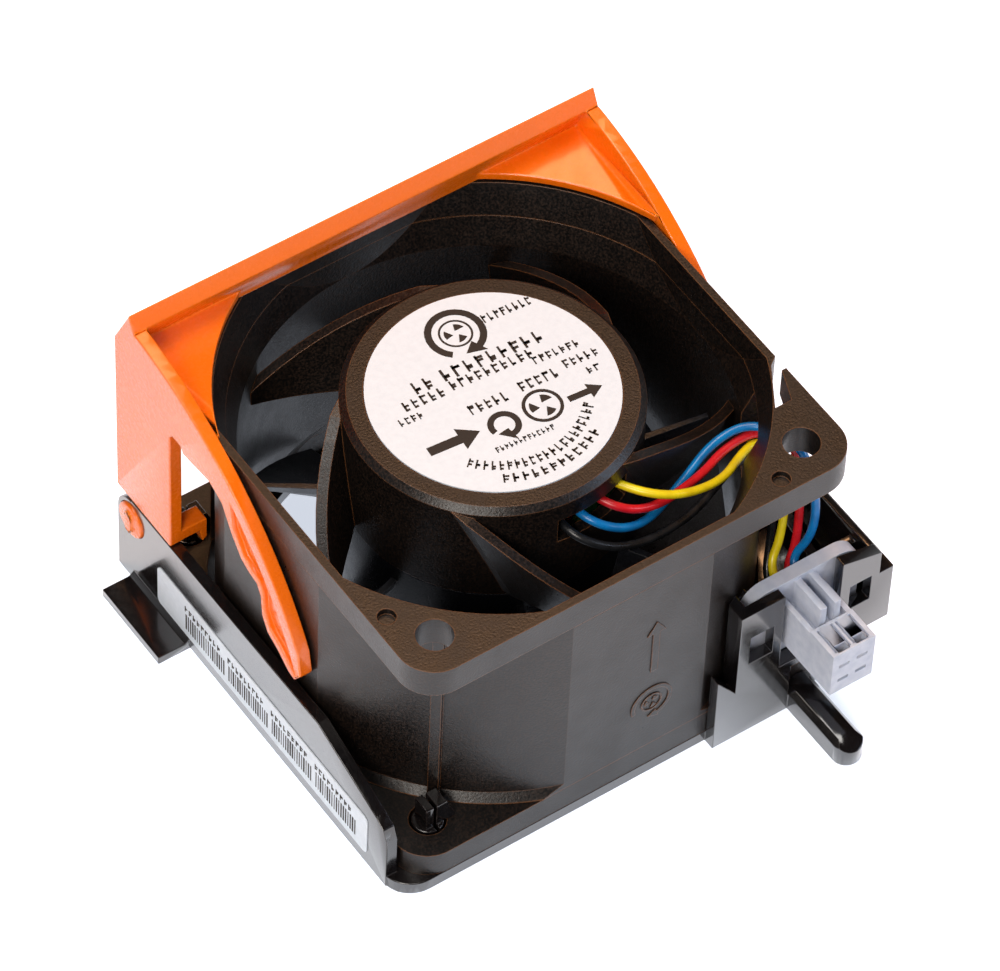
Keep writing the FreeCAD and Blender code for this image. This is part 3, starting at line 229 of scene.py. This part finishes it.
def lead_points(turn, height, contact, middle):
    """The corners of one lead's route, in millimetres."""
    across = Vector((math.cos(math.radians(turn)), math.sin(math.radians(turn)), 0))
    x, z = contact
    points = [across * BOARD_REACH + Vector((0, 0, BOARD_TOP)),
              across * BOARD_REACH + Vector((0, 0, height)),
              across * (HUB_RADIUS + 1.0) + Vector((0, 0, height))]
    points += [Vector(point) for point in middle]
    points += [Vector((x, CONTACT_REAR + LEAD_IN, z)), Vector((x, CONTACT_REAR, z))]
    return points


# %% [markdown]
# ## One spline for each lead
# A wire could be a swept mesh, but a curve with a round section keeps its route easy to change.
# The spline stands for the plain tube of the model, which is hidden.

# %% Lead splines
SECTION_STEPS = 5
ROUTE_STEPS = 10


def lead_curve(name, points):
    """One smooth round wire along the corners. Each point's radius is the wire's own."""
    data = bpy.data.curves.new(name + "_wire", "CURVE")
    data.dimensions = "3D"
    data.bevel_depth = 1.0
    data.bevel_resolution = SECTION_STEPS
    data.resolution_u = ROUTE_STEPS
    data.use_fill_caps = True
    spline = data.splines.new("NURBS")
    spline.points.add(len(points) - 1)
    for knot, point in zip(spline.points, points):
        knot.co = (*(point * MM), 1.0)
        knot.radius = LEAD_RADIUS * MM
    spline.order_u = 3
    spline.use_endpoint_u = True
    wire = bpy.data.objects.new(name + "_wire", data)
    scene.collection.objects.link(wire)
    return wire


leads = {}
for name, (turn, height, contact, middle) in LEADS.items():
    corners = lead_points(turn, height, contact, middle)
    wire = lead_curve(name, corners)
    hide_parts(name)
    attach(wire, "frame")
    leads[name] = wire
print("leads:", len(leads))

# %% [markdown]
# ## Floor
# A product stands on a sweep of pale paper that runs far past the view. A brighter lamp would
# bleach the object, so the paper glows instead, and only for rays that come from the camera or
# from a glossy or clear surface. It looks white, shows in reflections and keeps the shadow.

# %% Floor
FLOOR_REACH = 4.0
FLOOR_GAP = 0.05 * MM
FLOOR_GLOW = 0.8


def floor():
    """A pale sheet that keeps the object's shadow. Its glow is seen, and lights nothing."""
    mesh = bpy.data.meshes.new("floor")
    corners = [(x * FLOOR_REACH, y * FLOOR_REACH, 0)
               for x, y in ((-1, -1), (1, -1), (1, 1), (-1, 1))]
    mesh.from_pydata(corners, [], [(0, 1, 2, 3)])
    sheet = bpy.data.objects.new("floor", mesh)
    sheet.location.z = cad_box[0][2] - FLOOR_GAP
    scene.collection.objects.link(sheet)
    material, tree, shader = new_material("floor_paper")
    shader.inputs["Base Color"].default_value = linear("#EDF1F7")
    shader.inputs["Roughness"].default_value = 0.8
    shader.inputs["Emission Color"].default_value = linear("#E6EDFA")
    path = add(tree, "ShaderNodeLightPath").outputs
    seen = add(tree, "ShaderNodeMath", {0: path["Is Camera Ray"], 1: path["Is Glossy Ray"]},
               operation="MAXIMUM").outputs[0]
    seen = add(tree, "ShaderNodeMath", {0: seen, 1: path["Is Transmission Ray"]},
               operation="MAXIMUM").outputs[0]
    glow = add(tree, "ShaderNodeMath", {0: seen, 1: FLOOR_GLOW}, operation="MULTIPLY").outputs[0]
    tree.links.new(glow, shader.inputs["Emission Strength"])
    mesh.materials.append(material)
    return sheet


print("floor at", floor().location.z / MM, "mm")

# %% [markdown]
# ## Lamps
# Large lamps make soft shadows and broad highlights. The key stands over the left shoulder, with
# a cool fill on the right, a warm one high behind, and one overhead.

# %% Lamps


def lamp(name, place_mm, aim_mm, size_mm, power, colour):
    """A square soft lamp at a place, turned towards a point."""
    data = bpy.data.lights.new(name, "AREA")
    data.size = size_mm * MM
    data.energy = power
    data.color = linear(colour)[:3]
    light = bpy.data.objects.new(name, data)
    spot = Vector(place_mm) * MM
    light.location = spot
    light.rotation_euler = (Vector(aim_mm) * MM - spot).to_track_quat("-Z", "Y").to_euler()
    scene.collection.objects.link(light)


lamp("key", (-430, -330, 480), (0, 0, 20), 260, 3.1, "#FFF7EE")
lamp("fill", (460, -420, 300), (0, 0, 20), 300, 1.35, "#D6E6FF")
lamp("sheen", (170, 230, 730), (0, 0, 30), 260, 2.0, "#FFC08A")
lamp("top", (-60, 40, 720), (0, 0, 0), 320, 2.4, "#FFFBF6")
print("lamps:", len(bpy.data.lights))

# %% [markdown]
# ## Surroundings
# Glossy plastic shows what stands round it. The surroundings are pale near the floor and dark
# above, so that upright walls turn silvery while level faces stay deep.

# %% Surroundings
SKY_STRENGTH = 0.6
world = bpy.data.worlds.new("studio")
world.use_nodes = True
scene.world = world
sky = world.node_tree
backdrop = sky.nodes["Background"]
upward = add(sky, "ShaderNodeSeparateXYZ",
             {0: add(sky, "ShaderNodeTexCoord").outputs["Generated"]}).outputs["Z"]
sky.links.new(between(sky, spread(sky, upward, 0, 1, 0.02, 0.55), linear("#F2F5FA"),
                      linear("#3C2E26")), backdrop.inputs["Color"])
backdrop.inputs["Strength"].default_value = SKY_STRENGTH
print("surroundings at strength", SKY_STRENGTH)

# %% [markdown]
# ## Frame and rotor plastic
# Each finish starts from what the real one is. The frame and rotor are glass-filled PBT, moulded
# in a spark-eroded tool, so they have a fine even grain and a satin sheen. The IOR is set below
# that of clean PBT, because a pebbled face mirrors less than a smooth one.

# %% Frame and rotor plastic
PBT_IOR = 1.46


def spark_eroded_pbt(name, dark, light, rough_low, rough_high, grain_mm, edge):
    """Glass-filled PBT: a fine pebbled grain, and a painted highlight in a paler tone along the
    edges.
    """
    material, tree, shader = new_material(name)
    mottle = speckle(tree, 3.5, 4.0)
    fine = speckle(tree, grain_mm, 3.0)
    colour = between(tree, spread(tree, fine, 0, 1, 0.42, 0.72), linear(dark), linear(light))
    # The edge colour is a painted highlight along every edge.
    colour = between(tree, edge_highlight_share(tree, 0.22), colour, linear(edge))
    tree.links.new(colour, shader.inputs["Base Color"])
    rough = add(tree, "ShaderNodeMath", {0: spread(tree, fine, rough_low, rough_high),
                                         1: spread(tree, mottle, -0.04, 0.05)}, operation="ADD")
    tree.links.new(rough.outputs[0], shader.inputs["Roughness"])
    tree.links.new(relief(tree, fine, 0.035, rounded(tree, 0.14)), shader.inputs["Normal"])
    shader.inputs["IOR"].default_value = PBT_IOR
    return material


# The last colour of each is the painted highlight on its edges.
frame_plastic = spark_eroded_pbt("spark_eroded_pbt", "#0B0A0A", "#2C2019", 0.3, 0.44, 0.28,
                                 "#A0683C")
rotor_plastic = spark_eroded_pbt("satin_pbt", "#0B0C10", "#1C1E26", 0.28, 0.4, 0.2, "#3A3B44")

# %% [markdown]
# ## Polished plastics
# The bracket is black ABS from a polished tool, and the handle is the same in orange. Such a face
# is almost a mirror, and slow waves in it give the moulding away. A clear coat makes that mirror.

# %% Polished plastics


def polished_abs(name, base, shade, rough_low, rough_high, coat, flow_mm, edge):
    """ABS from a polished tool: almost mirror smooth, with slow flow waves and faint smudges."""
    material, tree, shader = new_material(name)
    flow = speckle(tree, flow_mm, 2.0)
    dust = speckle(tree, 0.6, 4.0)
    colour = between(tree, spread(tree, flow, 0, 1), linear(base), linear(shade))
    # The edge colour is a painted highlight along every edge.
    colour = between(tree, edge_highlight_share(tree, 0.25), colour, linear(edge))
    tree.links.new(colour, shader.inputs["Base Color"])
    tree.links.new(spread(tree, dust, rough_low, rough_high), shader.inputs["Roughness"])
    tree.links.new(relief(tree, flow, 0.05), shader.inputs["Normal"])
    shader.inputs["Coat Weight"].default_value = coat
    shader.inputs["Coat Roughness"].default_value = 0.12
    return material


# The last colour of each is the painted highlight on its edges.
bracket_plastic = polished_abs("polished_black_abs", "#0B090A", "#141112", 0.14, 0.26, 1.0, 11.0,
                               "#3A2C27")
handle_plastic = polished_abs("polished_orange_abs", "#F6710A", "#F06A06", 0.24, 0.3, 0.3, 14.0,
                              "#FFAA30")

# %% [markdown]
# ## Connector nylon
# Connector housings are moulded from nylon, which is slightly milky. A little light travels under
# its skin, so subsurface scattering is used, with a reach of about a millimetre.

# %% Connector nylon


def unfilled_nylon(name, base, shade):
    """Natural nylon lets a little light in, so its edges look softer than its faces."""
    material, tree, shader = new_material(name)
    mottle = speckle(tree, 1.2, 3.0)
    tree.links.new(between(tree, spread(tree, mottle, 0, 1), linear(base), linear(shade)),
                   shader.inputs["Base Color"])
    tree.links.new(spread(tree, mottle, 0.36, 0.5), shader.inputs["Roughness"])
    tree.links.new(relief(tree, speckle(tree, 0.25), 0.012), shader.inputs["Normal"])
    shader.inputs["Subsurface Weight"].default_value = 0.08
    shader.inputs["Subsurface Radius"].default_value = (0.001, 0.001, 0.0012)
    return material


connector_plastic = unfilled_nylon("grey_nylon", "#C4C9D6", "#B4BBCB")
natural_nylon = unfilled_nylon("natural_nylon", "#E6E2D6", "#D9D4C6")

# %% [markdown]
# ## Wire insulation
# Each lead has a PVC skin, extruded over twisted strands. It is smooth and fairly shiny, and a
# faint wave in it comes from the strands.

# %% Wire insulation


def pvc_insulation(name, base, shade):
    """Extruded PVC: a smooth skin with a faint waviness from the strands under it."""
    material, tree, shader = new_material(name)
    wave = speckle(tree, 1.6, 2.0)
    tree.links.new(between(tree, spread(tree, wave, 0, 1), linear(base), linear(shade)),
                   shader.inputs["Base Color"])
    tree.links.new(spread(tree, wave, 0.24, 0.36), shader.inputs["Roughness"])
    tree.links.new(relief(tree, wave, 0.03), shader.inputs["Normal"])
    return material


LEAD_COLOURS = {
    "lead_yellow": ("#F3DE1C", "#E2C90F"),
    "lead_red": ("#D9202B", "#BC1520"),
    "lead_black": ("#131416", "#1E2024"),
    "lead_blue": ("#0E7CC4", "#0A66A8"),
}
for name, (base, shade) in LEAD_COLOURS.items():
    leads[name].data.materials.append(pvc_insulation("pvc_" + name.split("_")[1], base, shade))
print("lead colours:", len(LEAD_COLOURS))

# %% [markdown]
# ## Metals
# The motor's inside is steel, brass, copper and aluminium. A metal's colour is its reflection, so
# the shader is fully metallic and keeps its default IOR.

# %% Metals


def metal(name, base, shade, rough_low, rough_high, grain_mm):
    """A bare metal: its colour is its reflection, broken up by fine marks."""
    material, tree, shader = new_material(name)
    marks = speckle(tree, grain_mm, 3.0)
    tree.links.new(between(tree, spread(tree, marks, 0, 1), linear(base), linear(shade)),
                   shader.inputs["Base Color"])
    tree.links.new(spread(tree, marks, rough_low, rough_high), shader.inputs["Roughness"])
    shader.inputs["Metallic"].default_value = 1.0
    return material


contact_metal = metal("tinned_bronze", "#D8D2C0", "#BDB49C", 0.22, 0.35, 0.3)
bearing_steel = metal("ground_steel", "#C9CBD0", "#B4B6BC", 0.16, 0.28, 0.2)
core_steel = metal("sheet_steel", "#8E9096", "#74767C", 0.32, 0.5, 0.5)
tube_brass = metal("turned_brass", "#C9A45A", "#B08A42", 0.2, 0.34, 0.25)
winding_copper = metal("enamelled_copper", "#B4622E", "#96461C", 0.25, 0.4, 0.3)
capacitor_can = metal("drawn_aluminium", "#C8CACE", "#B2B4B9", 0.25, 0.4, 0.4)

# %% [markdown]
# ## Remaining finishes
# Labels are coated paper, the magnet is rubber filled with ferrite, the board is glass laminate,
# and chips are moulded epoxy. None is polished and all have a faint grain, so one function makes
# them, and the print's ink too.

# %% Remaining finishes


def dull(name, base, shade, rough_low, rough_high, grain_mm):
    """A plain dull solid, such as laminate, bonded magnet or moulded epoxy."""
    material, tree, shader = new_material(name)
    grain = speckle(tree, grain_mm, 3.0)
    tree.links.new(between(tree, spread(tree, grain, 0, 1), linear(base), linear(shade)),
                   shader.inputs["Base Color"])
    tree.links.new(spread(tree, grain, rough_low, rough_high), shader.inputs["Roughness"])
    tree.links.new(relief(tree, grain, 0.02), shader.inputs["Normal"])
    return material


label_film = dull("coated_paper", "#DFE8F3", "#D9E2ED", 0.34, 0.46, 0.8)
printing_ink = dull("printing_ink", "#1C1512", "#261D18", 0.6, 0.7, 0.3)
magnet_rubber = dull("bonded_magnet", "#211F20", "#2B2829", 0.5, 0.65, 0.4)
board_laminate = dull("green_laminate", "#1F5A30", "#174A27", 0.3, 0.45, 0.6)
chip_epoxy = dull("moulded_epoxy", "#17181A", "#202124", 0.5, 0.6, 0.3)

# %% [markdown]
# ## Soft edges
# A moulded edge is never sharp: the tool leaves a small radius, and that radius catches a line of
# light. The solids keep their exact sharp edges, so the polished mouldings are copied and a narrow
# bevel runs along every real edge, with hardened normals that keep the large flats flat. The fan's
# frame has many small holes in wide flats, where a bevel would crease them, so its finish rounds
# the edges instead.

# %% Copies with soft edges
REAL_EDGE = math.radians(32)


def copy_of(node):
    """A free copy of a solid's mesh, merged to one closed shell."""
    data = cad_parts[node].data.copy()
    shell = bmesh.new()
    shell.from_mesh(data)
    bmesh.ops.remove_doubles(shell, verts=shell.verts, dist=0.002 * MM)
    shell.to_mesh(data)
    shell.free()
    made = bpy.data.objects.new(node + "_copy", data)
    scene.collection.objects.link(made)
    return made


def settled(piece):
    """piece with its modifiers worked into a plain mesh."""
    bpy.context.view_layer.update()
    graph = bpy.context.evaluated_depsgraph_get()
    mesh = bpy.data.meshes.new_from_object(piece.evaluated_get(graph))
    piece.modifiers.clear()
    piece.data = mesh
    return piece


def soften(name, node, body, width_mm, material):
    """A copy with its real edges rounded and its flats kept flat, which stands for its solid."""
    piece = copy_of(node)
    piece.name = name
    piece.data.shade_smooth()
    piece.data.set_sharp_from_angle(angle=REAL_EDGE)
    edge = piece.modifiers.new("soft_edge", "BEVEL")
    edge.width = width_mm * MM
    edge.segments = 3
    edge.limit_method = "ANGLE"
    edge.angle_limit = REAL_EDGE
    edge.use_clamp_overlap = False
    edge.harden_normals = True
    settled(piece)
    piece.data.materials.clear()
    piece.data.materials.append(material)
    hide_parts(node)
    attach(piece, body)
    print(name, "faces:", len(piece.data.polygons))


SOFTENED = {
    "handle": ("handle", 0.22, handle_plastic, "handle_plastic"),
    "bracket": ("frame", 0.12, bracket_plastic, "bracket_plastic"),
    "connector": ("frame", 0.07, connector_plastic, "connector_plastic"),
}
for node, (body, width, material, slot) in SOFTENED.items():
    soften(node + "_moulding", node, body, width, material)

# %% [markdown]
# ## A finish for each solid
# A table gives each solid its finish by how its name starts, and the first match counts. Whatever
# is left, such as races, balls and the shaft, is bearing steel.

# %% Finish for each solid
FINISHES = {
    "outlet_flange": frame_plastic, "duct_wall": frame_plastic, "inlet_flange": frame_plastic,
    "motor_base": frame_plastic, "impeller": rotor_plastic,
    "motor_label": label_film, "bracket_label": label_film,
    "bracket": bracket_plastic, "handle": handle_plastic, "connector": connector_plastic,
    "contact_": contact_metal, "insulator_": natural_nylon, "winding_": winding_copper,
    "rotor_yoke": core_steel, "stator_core": core_steel, "bearing_tube": tube_brass,
    "magnet_ring": magnet_rubber, "circuit_board": board_laminate,
    "hall_sensor": chip_epoxy, "driver_chip": chip_epoxy, "choke": chip_epoxy,
    "capacitor": capacitor_can,
}


def finish_for(node):
    """The finish that a solid of the model takes."""
    for start, finish in FINISHES.items():
        if node.startswith(start):
            return finish
    return bearing_steel


for node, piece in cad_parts.items():
    if node in LEADS:
        continue
    piece.data.materials.clear()
    piece.data.materials.append(finish_for(node))
print("finished solids:", len(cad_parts) - len(LEADS))

# %% [markdown]
# ## Print on the labels
# Labels carry rows of small print. Here each letter is an upright stem with two short strokes at
# random heights, so that a row has the grain of print and says nothing. Rows repeat, so Geometry
# Nodes make them: a line of points, a small block on each point, and a random width and rise from
# a fixed seed. The larger marks are plain arrows and a fan sign.

# %% A line of blocks
INK_THICK = 0.03
BLOCK_INPUTS = (("Count", "NodeSocketInt", 10), ("Pitch", "NodeSocketFloat", 1.0),
                ("Thin", "NodeSocketFloat", 0.3), ("Thick", "NodeSocketFloat", 0.8),
                ("Height", "NodeSocketFloat", 1.0), ("Rise", "NodeSocketFloat", 0.0),
                ("Depth", "NodeSocketFloat", 0.03), ("Seed", "NodeSocketInt", 1),
                ("Ink", "NodeSocketMaterial", None))


def block_line_tree():
    """Count blocks along X, a pitch apart, each of a random width and rise."""
    tree = bpy.data.node_groups.new("block_line", "GeometryNodeTree")
    face = tree.interface
    for label, kind, value in BLOCK_INPUTS:
        socket = face.new_socket(label, in_out="INPUT", socket_type=kind)
        if value is not None:
            socket.default_value = value
    face.new_socket("Geometry", in_out="OUTPUT", socket_type="NodeSocketGeometry")
    given = add(tree, "NodeGroupInput").outputs
    step = add(tree, "ShaderNodeCombineXYZ", {"X": given["Pitch"]})
    line = add(tree, "GeometryNodeMeshLine", {"Count": given["Count"], "Offset": step.outputs[0]})
    fall = add(tree, "ShaderNodeMath", {0: given["Rise"], 1: -1.0}, operation="MULTIPLY")
    lift = add(tree, "FunctionNodeRandomValue", {2: fall.outputs[0], 3: given["Rise"],
                                                 "Seed": given["Seed"]}, data_type="FLOAT")
    offset = add(tree, "ShaderNodeCombineXYZ", {"Y": lift.outputs[1]})
    moved = add(tree, "GeometryNodeSetPosition", {"Geometry": line.outputs[0],
                                                  "Offset": offset.outputs[0]})
    block = add(tree, "GeometryNodeMeshCube")
    width = add(tree, "FunctionNodeRandomValue", {2: given["Thin"], 3: given["Thick"],
                                                  "Seed": given["Seed"]}, data_type="FLOAT")
    shape = add(tree, "ShaderNodeCombineXYZ", {"X": width.outputs[1], "Y": given["Height"],
                                               "Z": given["Depth"]})
    set_out = add(tree, "GeometryNodeInstanceOnPoints", {"Points": moved.outputs[0],
                                                         "Instance": block.outputs[0],
                                                         "Scale": shape.outputs[0]})
    solid = add(tree, "GeometryNodeRealizeInstances", {0: set_out.outputs[0]})
    inked = add(tree, "GeometryNodeSetMaterial", {"Geometry": solid.outputs[0],
                                                  "Material": given["Ink"]})
    add(tree, "NodeGroupOutput", {"Geometry": inked.outputs[0]})
    return tree


block_line = block_line_tree()
block_inputs = {item.name: item.identifier for item in block_line.interface.items_tree
                if item.item_type == "SOCKET" and item.in_out == "INPUT"}


def blocks(placed, count, pitch, thin, thick, height, seed, rise=0.0):
    """A line of blocks as a plain mesh object. Sizes in millimetres; placed puts it in place."""
    holder = bpy.data.objects.new("blocks", bpy.data.meshes.new("blocks"))
    scene.collection.objects.link(holder)
    maker = holder.modifiers.new("blocks", "NODES")
    maker.node_group = block_line
    for label, value in (("Count", count), ("Pitch", pitch * MM), ("Thin", thin * MM),
                         ("Thick", thick * MM), ("Height", height * MM), ("Rise", rise * MM),
                         ("Depth", INK_THICK * MM), ("Seed", seed), ("Ink", printing_ink)):
        maker[block_inputs[label]] = value
    settled(holder)
    holder.data.transform(placed)
    return holder


STEM = (0.16, 0.24)
STROKE = (0.3, 0.72)
STROKE_SHIFT = 0.22
STROKE_HIGH = 0.2
STROKE_RISE = 0.4


def print_row(placed, count, pitch, high, seed):
    """Greeked letters: a stem each, and two short strokes that a random rise moves."""
    shift = Matrix.Translation((STROKE_SHIFT * pitch * MM, 0, 0))
    row = [blocks(placed, count, pitch, STEM[0] * pitch, STEM[1] * pitch, high, seed)]
    for step in (1, 2):
        row.append(blocks(placed @ shift, count, pitch, STROKE[0] * pitch, STROKE[1] * pitch,
                          STROKE_HIGH * high, seed + step, rise=STROKE_RISE * high))
    return row


def join(name, pieces, body, material):
    """Several plain pieces as one object that rides on a body."""
    whole = bmesh.new()
    for piece in pieces:
        whole.from_mesh(piece.data)
        bpy.data.objects.remove(piece)
    mesh = bpy.data.meshes.new(name)
    whole.to_mesh(mesh)
    whole.free()
    mesh.materials.append(material)
    made = bpy.data.objects.new(name, mesh)
    scene.collection.objects.link(made)
    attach(made, body)
    return made


# %% [markdown]
# ## Plates of any outline
# An arrow or a ring is a flat outline with a little thickness. It is made point by point, as a
# closed plate with a front, a back and sides.

# %% Plates of any outline


def plate(placed, outline, thick=INK_THICK):
    """A thin closed plate on an outline in millimetres, put in place."""
    shell = bmesh.new()
    low = [shell.verts.new((x, y, -thick / 2)) for x, y in outline]
    high = [shell.verts.new((x, y, thick / 2)) for x, y in outline]
    shell.faces.new(low[::-1])
    shell.faces.new(high)
    for i in range(len(outline)):
        j = (i + 1) % len(outline)
        shell.faces.new((low[i], low[j], high[j], high[i]))
    shell.normal_update()
    bmesh.ops.triangulate(shell, faces=shell.faces)
    mesh = bpy.data.meshes.new("plate")
    shell.to_mesh(mesh)
    shell.free()
    mesh.transform(placed @ Matrix.Scale(MM, 4))
    made = bpy.data.objects.new("plate", mesh)
    scene.collection.objects.link(made)
    return made


def arc(radius, start, end, steps=24):
    """Points along an arc, angles in degrees."""
    turns = [math.radians(start + (end - start) * i / steps) for i in range(steps + 1)]
    return [(math.cos(a) * radius, math.sin(a) * radius) for a in turns]


def turning_arrow(radius, width, start, end):
    """An arc with an arrow head at its end, as an outline."""
    last = math.radians(end)
    ahead = last + math.copysign(2.4 * width / radius, end - start)
    reach = 1.3 * width
    head = [(math.cos(last) * (radius + reach), math.sin(last) * (radius + reach)),
            (math.cos(ahead) * radius, math.sin(ahead) * radius),
            (math.cos(last) * (radius - reach), math.sin(last) * (radius - reach))]
    return (arc(radius + width / 2, start, end) + head
            + arc(radius - width / 2, start, end)[::-1])


def straight_arrow(length, width):
    """An arrow along X, centred."""
    back, neck = -length / 2, length / 2 - 2.0 * width
    return [(back, -width / 2), (neck, -width / 2), (neck, -width * 1.3), (length / 2, 0),
            (neck, width * 1.3), (neck, width / 2), (back, width / 2)]


def half_ring(radius, width, start, end):
    """Part of a flat ring, as an outline."""
    return arc(radius + width / 2, start, end) + arc(radius - width / 2, start, end)[::-1]


def fan_sign(placed_at, x, y, radius, width, thick=INK_THICK):
    """A ring round three curved blades."""
    pieces = [plate(placed_at(x, y), half_ring(radius, width, turn, turn + 180), thick)
              for turn in (0, 180)]
    blade = arc(radius * 0.72, 20, 75, 8) + [(radius * 0.05, radius * 0.2)]
    for turn in (0, 120, 240):
        turned = Matrix.Rotation(math.radians(turn), 4, "Z")
        pieces.append(plate(placed_at(x, y) @ turned, blade, thick))
    return pieces


# %% [markdown]
# ## Motor label
# The label on the hub is a disc. Its rows, arrows and signs are laid out along the way it reads,
# which is turned a little from the frame's sides, and two rows follow its edge.

# %% Motor label
label_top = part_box("motor_label")[1][2] / MM + INK_THICK / 2
READING_TURN = -5.0


def on_label(x, y, turn=0.0):
    """The place of a point of the label, measured along its rows of print."""
    return (Matrix.Rotation(math.radians(READING_TURN), 4, "Z")
            @ Matrix.Translation((x * MM, y * MM, label_top * MM))
            @ Matrix.Rotation(math.radians(turn), 4, "Z"))


# Straight rows: left end, height on the label, letters, pitch, letter height.
LABEL_ROWS = [
    (4.2, 9.8, 8, 0.82, 1.25), (-7.7, 4.45, 2, 1.45, 1.8), (-3.9, 4.6, 9, 1.5, 1.8),
    (-10.0, 2.6, 5, 1.12, 1.4), (-3.8, 2.85, 10, 1.1, 1.4), (6.3, 1.7, 7, 0.88, 1.15),
    (-11.6, 0.75, 4, 0.8, 1.05), (-3.7, -1.3, 5, 1.06, 1.45), (3.0, -0.95, 5, 1.06, 1.45),
    (9.1, -0.4, 5, 0.94, 1.25), (11.0, -2.45, 2, 0.95, 1.0), (-3.9, -7.75, 13, 0.59, 0.8),
]
# Curved rows: radius, first and last turn, letters, letter height.
CURVED_ROWS = [(10.9, -134, -40, 21, 1.3), (12.75, -114, -57, 12, 1.25)]
art = []
for i, (x, y, count, pitch, high) in enumerate(LABEL_ROWS):
    art += print_row(on_label(x, y), count, pitch, high, 11 + 5 * i)
for radius, first, last, count, high in CURVED_ROWS:
    pitch = radius * math.radians(last - first) / (count - 1)
    for i in range(count):
        turn = first + (last - first) * i / (count - 1)
        x, y = arc(radius, turn, turn, 1)[0]
        art += print_row(on_label(x, y, turn + 90), 1, pitch, high, 90 + 3 * i)
art.append(plate(on_label(0.4, 9.4), turning_arrow(3.2, 0.85, 235, -60)))
art += fan_sign(on_label, 0.4, 9.4, 1.9, 0.25)
art.append(plate(on_label(-7.5, -4.4), straight_arrow(6.6, 1.25)))
art.append(plate(on_label(-1.3, -4.9), turning_arrow(1.6, 0.75, 200, -80)))
art += fan_sign(on_label, 3.9, -4.5, 2.2, 0.42)
art.append(plate(on_label(9.1, -5.1), straight_arrow(4.4, 0.85)))
join("motor_label_print", art, "frame", printing_ink)
print("straight rows of print:", len(LABEL_ROWS), "and curved:", len(CURVED_ROWS))

# %% [markdown]
# ## Bracket label
# A long strip on the left wall carries groups of thin and thick bars, each with a row of small
# print over it. The bars come from the same line of blocks, with a wider spread of widths.

# %% Bracket label
strip_low, strip_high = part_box("bracket_label")
wall_face = strip_low[0] / MM - INK_THICK / 2
strip_rear = strip_high[1] / MM
strip_middle = (strip_low[2] + strip_high[2]) / 2 / MM
CODE_GROUPS = 4
CODE_STEP = 9.1
CODE_INSET = 6.2
BAR_COUNT = 18
BAR_DROP = 0.75
BAR_HIGH = 2.7
ROW_RISE = 1.55
ROW_INSET = 0.2


def on_wall(y, z):
    """The place of a point on the left wall's label, with its rows of print running towards -Y."""
    turned = Matrix(((0, 0, -1, 0), (-1, 0, 0, 0), (0, 1, 0, 0), (0, 0, 0, 1)))
    return Matrix.Translation((wall_face * MM, y * MM, z * MM)) @ turned


codes = []
for i in range(CODE_GROUPS):
    start = strip_rear - CODE_INSET - i * CODE_STEP
    codes.append(blocks(on_wall(start, strip_middle - BAR_DROP), BAR_COUNT, 0.47, 0.1, 0.3,
                        BAR_HIGH, 40 + i))
    codes += print_row(on_wall(start + ROW_INSET, strip_middle + ROW_RISE), 9, 0.86, 0.95,
                       60 + 5 * i)
join("bracket_label_print", codes, "frame", printing_ink)
print("groups of bars:", CODE_GROUPS)

# %% [markdown]
# ## Moulded marks
# An axial fan has two raised arrows on its side: one shows how the rotor turns, the other where
# the air goes. They are cut into the mould, so they share the plastic and its grain. Each plate is
# half sunk into the wall, so it stands proud by half its thickness.

# %% Arrows on the front side
MARK_THICK = 0.24
MARK_X = 2.2
SPIN_DROP = 7.0
AIR_LIFT = 3.4
front_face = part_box("inlet_flange")[0][1] / MM
mark_height = (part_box("duct_wall")[0][2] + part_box("duct_wall")[1][2]) / 2 / MM


def on_front(x, z):
    """The place of a point on the fan's front side, which looks towards -Y."""
    turned = Matrix(((1, 0, 0, 0), (0, 0, -1, 0), (0, 1, 0, 0), (0, 0, 0, 1)))
    return Matrix.Translation((x * MM, front_face * MM, z * MM)) @ turned


upright = Matrix.Rotation(math.radians(90), 4, "Z")
spin_height = mark_height - SPIN_DROP
marks = [plate(on_front(MARK_X, spin_height), turning_arrow(2.6, 0.55, 200, -70), MARK_THICK),
         plate(on_front(MARK_X, mark_height + AIR_LIFT) @ upright, straight_arrow(9.0, 1.0),
               MARK_THICK)]
marks += fan_sign(on_front, MARK_X, spin_height, 1.35, 0.22, MARK_THICK)
join("moulded_marks", marks, "frame", frame_plastic)
print("moulded plates:", len(marks))
